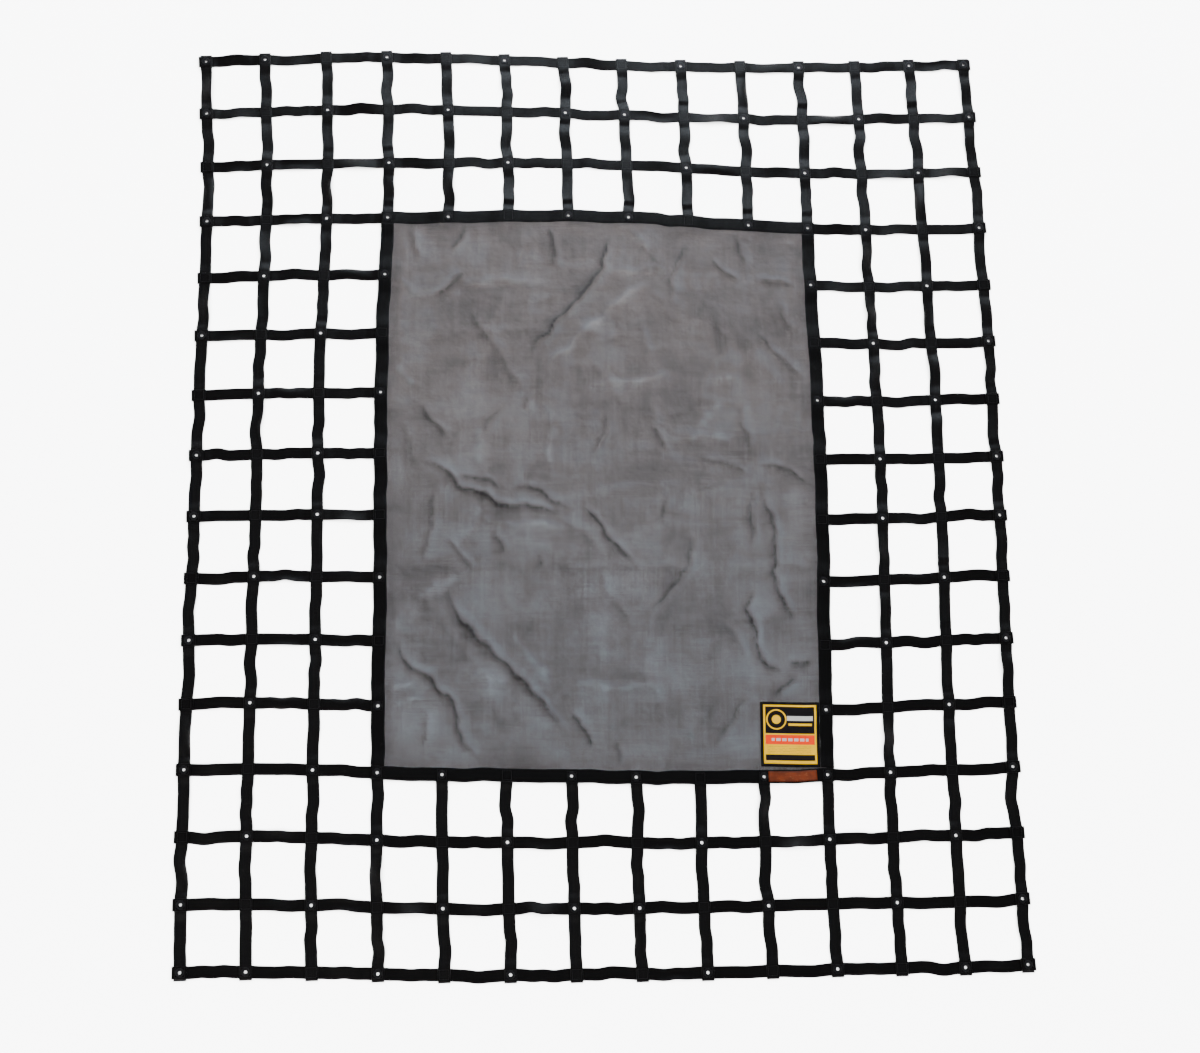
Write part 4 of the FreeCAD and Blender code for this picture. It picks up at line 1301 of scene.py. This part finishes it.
class NET_OT_eyelets(bpy.types.Operator):
    """Set the eyelets: a domed flange with a rolled rim and a barrel through the webbing"""
    bl_idname = "net.eyelets"
    bl_label = "Eyelets"

    def execute(self, context):
        _, colours = settings()
        column, row = np.nonzero(HAS_EYELET)
        top, low = EYELET_HIGH[column, row, 2], EYELET_LOW[column, row, 2]
        middle = (EYELET_LOW + EYELET_HIGH)[column, row, :2] / 2
        turn = np.radians(np.linspace(-70, 90, 6))
        rim = np.stack([FLANGE_R - 0.0007 + 0.0007 * np.cos(turn),
                        -0.0006 + 0.00065 * np.sin(turn)], -1)
        dome_r = np.linspace(FLANGE_R - 0.0014, HOLE_R + 0.0009, 5)
        dome = np.stack([dome_r, -0.00042 + 0.00042 * np.sin(
            np.pi * (dome_r - HOLE_R) / (FLANGE_R - HOLE_R))], -1)
        turn = np.radians([15, 45, 75, 90])
        lip = np.stack([HOLE_R + 0.0006 - 0.0006 * np.sin(turn), -0.0006 + 0.0006 * np.cos(turn)],
                       -1)
        parts = []
        for depth in np.unique(np.round(top - low, 5)):
            these = np.abs(top - low - depth) < 5e-5
            barrel = np.array([[HOLE_R, -depth + 0.0004], [HOLE_R + 0.0003, -depth],
                               [BARREL_R, -depth], [BARREL_R, -0.0012],
                               [FLANGE_R - 0.0004, -0.0012]])
            parts.append(lathe(np.concatenate([rim, dome, lip, barrel]),
                               np.column_stack([middle[these], top[these]])))
        add_piece("black_eyelets", *joined(parts), None,
                  material_of("black eyelets", blackened_brass, colours.eyelet),
                  "grommet_eyelets", "grommet_metal", turn=False)
        return {"FINISHED"}


class NET_OT_washers(bpy.types.Operator):
    """Set the plain washers that the eyelets are clenched over, under the webbing"""
    bl_idname = "net.washers"
    bl_label = "Eyelet washers"

    def execute(self, context):
        _, colours = settings()
        lows, highs = places("grommet_washers", FLANGE_R)
        column, row = np.nonzero(np.isfinite(lows[..., 0]))
        middle = (lows + highs)[column, row, :2] / 2
        profile = np.array([[0.0047, 0.0], [0.0052, 0.0], [0.0081, 0.00002], [0.0086, 0.0002],
                            [0.00875, 0.0005], [0.0086, 0.0008], [0.0082, 0.001],
                            [0.0064, 0.00096], [0.0047, 0.001]])
        made = lathe(profile, np.column_stack([middle, lows[column, row, 2]]))
        add_piece("black_washers", *made, None,
                  material_of("black eyelets", blackened_brass, colours.eyelet),
                  "grommet_washers", "grommet_metal", turn=False)
        return {"FINISHED"}


class NET_OT_label(bpy.types.Operator):
    """Sew the label on the mesh: dark backing, printed face and its stitches"""
    bl_idname = "net.label"
    bl_label = "Sewn label"

    def execute(self, context):
        shape, colours = settings()
        cloth = Cloth(shape, span_choices(shape))
        backing = material_of("label backing", woven_tape, colours.binding, 0.0009, 0.0009,
                              LABEL_WIDTH, 5.5, 0.15)
        vertices, faces, uv, _ = label_cloth(cloth, LABEL_WIDTH, LABEL_LENGTH, 0.0009, 0.0008,
                                             0.003)
        uv = uv - (LABEL_WIDTH / 2, LABEL_LENGTH / 2)
        add_piece("label_backing_cloth", vertices, faces, uv, backing, "label_backing",
                  "label_cloth")
        printed = material_of("printed label", printed_label, colours, PRINT_WIDTH, PRINT_LENGTH)
        vertices, faces, uv, _ = label_cloth(cloth, PRINT_WIDTH, PRINT_LENGTH, 0.00155, 0.0005,
                                             0.003)
        BRIGHT.append(add_piece("label_printed_face", vertices, faces, uv, printed, "label_face",
                                "label_print"))
        *_, surface = label_cloth(cloth, LABEL_WIDTH - 0.005, LABEL_LENGTH - 0.005, 0.0013,
                                  0.0001, 0.002)
        add_thread("label_stitches", stitch_run(rim_of(surface), shape.stitch, 0.00045), colours,
                   "label_stitching")
        return {"FINISHED"}


class NET_OT_tag(bpy.types.Operator):
    """Sew the load tag on the foot binding, below the label"""
    bl_idname = "net.tag"
    bl_label = "Load tag"

    def execute(self, context):
        shape, colours = settings()
        line = binding_line("foot", span_choices(shape))
        centre = np.mean(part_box("load_tag"), axis=0)[:2]
        nearest = np.argmin(np.linalg.norm(line.middle[:, :2] - centre, axis=1))
        arc = line.length - line.length[nearest]
        along = np.linspace(-TAG_LENGTH / 2, TAG_LENGTH / 2, 35)
        across = np.linspace(-TAG_WIDTH / 2, TAG_WIDTH / 2, 9)
        middle, side = (np.stack([np.interp(along, arc, values[:, k]) for k in range(3)], -1)
                        for values in (line.middle, line.side))
        surface = middle[:, None] + side[:, None] * across[None, :, None]
        surface[..., 2] += BINDING_THICK / 2 + 0.0005 + 0.00025 * np.sin(along * 90)[:, None]**2
        vertices, faces = slab(surface, 0.0005)
        uv = np.stack(np.meshgrid(along + TAG_LENGTH / 2, across + TAG_WIDTH / 2, indexing="ij"),
                      -1)
        material = material_of("load tag", coated_tag, colours.tag, TAG_LENGTH, TAG_WIDTH)
        BRIGHT.append(add_piece("load_tag_strip", vertices, faces,
                                np.tile(uv.reshape(-1, 2), (2, 1)), material, "load_tag",
                                "tag_print"))
        inner = surface[np.abs(along) <= TAG_LENGTH / 2 - 0.002]
        near, far = (inner[:, edge] + (inner[:, inside] - inner[:, edge]) * 0.75
                     for edge, inside in ((0, 1), (-1, -2)))
        loop = np.concatenate([near, far[::-1], near[:1]])
        loop[:, 2] += 0.00022
        add_thread("load_tag_stitches", stitch_run(loop, shape.stitch, 0.0004), colours,
                   "load_tag_stitching")
        return {"FINISHED"}


def added(name, data):
    """A new object of the given data in the scene."""
    made = bpy.data.objects.new(name, data)
    bpy.context.scene.collection.objects.link(made)
    return made


def area_light(name, place, target, size, power, colour):
    """A rectangular lamp at a place, facing its target."""
    data = bpy.data.lights.new(name, "AREA")
    data.shape = "RECTANGLE"
    data.size, data.size_y = size
    data.energy = power
    data.color = colour
    lamp = added(name, data)
    lamp.location = place
    lamp.rotation_euler = (Vector(place) - Vector(target)).to_track_quat("Z", "Y").to_euler()
    lamp.visible_camera = False


def wash(name, power, angle, group_name, lit):
    """A broad light from straight above that falls on the given objects only."""
    data = bpy.data.lights.new(name, "SUN")
    data.energy = power
    data.angle = math.radians(angle)
    lamp = added(name, data)
    group = bpy.data.collections.new(group_name)
    bpy.context.scene.collection.children.link(group)
    for piece in lit:
        group.objects.link(piece)
    lamp.light_linking.receiver_collection = group


class NET_OT_stage(bpy.types.Operator):
    """Set the pale floor, the soft lights and the camera"""
    bl_idname = "net.stage"
    bl_label = "Floor, lights and camera"

    def execute(self, context):
        scene = bpy.context.scene
        half = 60.0
        mesh = bpy.data.meshes.new("floor")
        mesh.from_pydata([(-half, -half, 0), (half, -half, 0), (half, half, 0), (-half, half, 0)],
                         [], [(0, 1, 2, 3)])
        mesh.materials.append(material_of("pale floor", pale_floor))
        floor = added("floor", mesh)
        scene.world = bpy.data.worlds.new("soft room")
        scene.world.use_nodes = True
        background = scene.world.node_tree.nodes["Background"]
        background.inputs[0].default_value = (0.93, 0.96, 1.0, 1)
        background.inputs[1].default_value = 0.34
        wash("floor wash", 30.0, 100, "bright surfaces", [floor])
        wash("label wash", 2.1, 60, "printed surfaces", BRIGHT)
        area_light("far window", (0.4, 2.7, 1.55), (0.2, 0.6, 0.0), (1.6, 0.6), 64.0,
                   (0.80, 0.90, 1.0))
        area_light("near fill", (-1.4, -2.6, 2.6), (-0.1, -0.2, 0.0), (2.4, 1.6), 22.0,
                   (1.0, 0.97, 0.94))
        camera = added("camera", bpy.data.cameras.new("camera"))
        camera.data.sensor_width = 36.0
        camera.data.lens = 61.16
        camera.location = (-0.29324, -1.23093, 4.18347)
        camera.rotation_euler = tuple(math.radians(a) for a in (15.34533, -3.80824, -0.79591))
        scene.camera = camera
        return {"FINISHED"}


class NET_PT_panel(bpy.types.Panel):
    """The net's pieces in the sidebar"""
    bl_label = "Cargo climbing net"
    bl_idname = "NET_PT_panel"
    bl_space_type = "VIEW_3D"
    bl_region_type = "UI"
    bl_category = "Net"

    def draw(self, context):
        for operator in OPERATORS:
            self.layout.operator(operator.bl_idname)
        for group in (context.scene.net_shape, context.scene.net_colours):
            box = self.layout.box()
            for key in group.__annotations__:
                box.prop(group, key)


OPERATORS = (NET_OT_straps, NET_OT_mesh, NET_OT_bindings, NET_OT_crossing_stitches,
             NET_OT_panel_stitches, NET_OT_eyelets, NET_OT_washers, NET_OT_label, NET_OT_tag,
             NET_OT_stage)
CLASSES = (NetShape, NetColours) + OPERATORS + (NET_PT_panel,)


def register():
    for made in CLASSES:
        bpy.utils.register_class(made)
    bpy.types.Scene.net_shape = PointerProperty(type=NetShape)
    bpy.types.Scene.net_colours = PointerProperty(type=NetColours)


def unregister():
    del bpy.types.Scene.net_shape
    del bpy.types.Scene.net_colours
    for made in reversed(CLASSES):
        bpy.utils.unregister_class(made)


def main():
    """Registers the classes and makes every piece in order."""
    register()
    for operator in OPERATORS:
        group, action = operator.bl_idname.split(".")
        getattr(getattr(bpy.ops, group), action)()


if __name__ == "__main__":
    main()
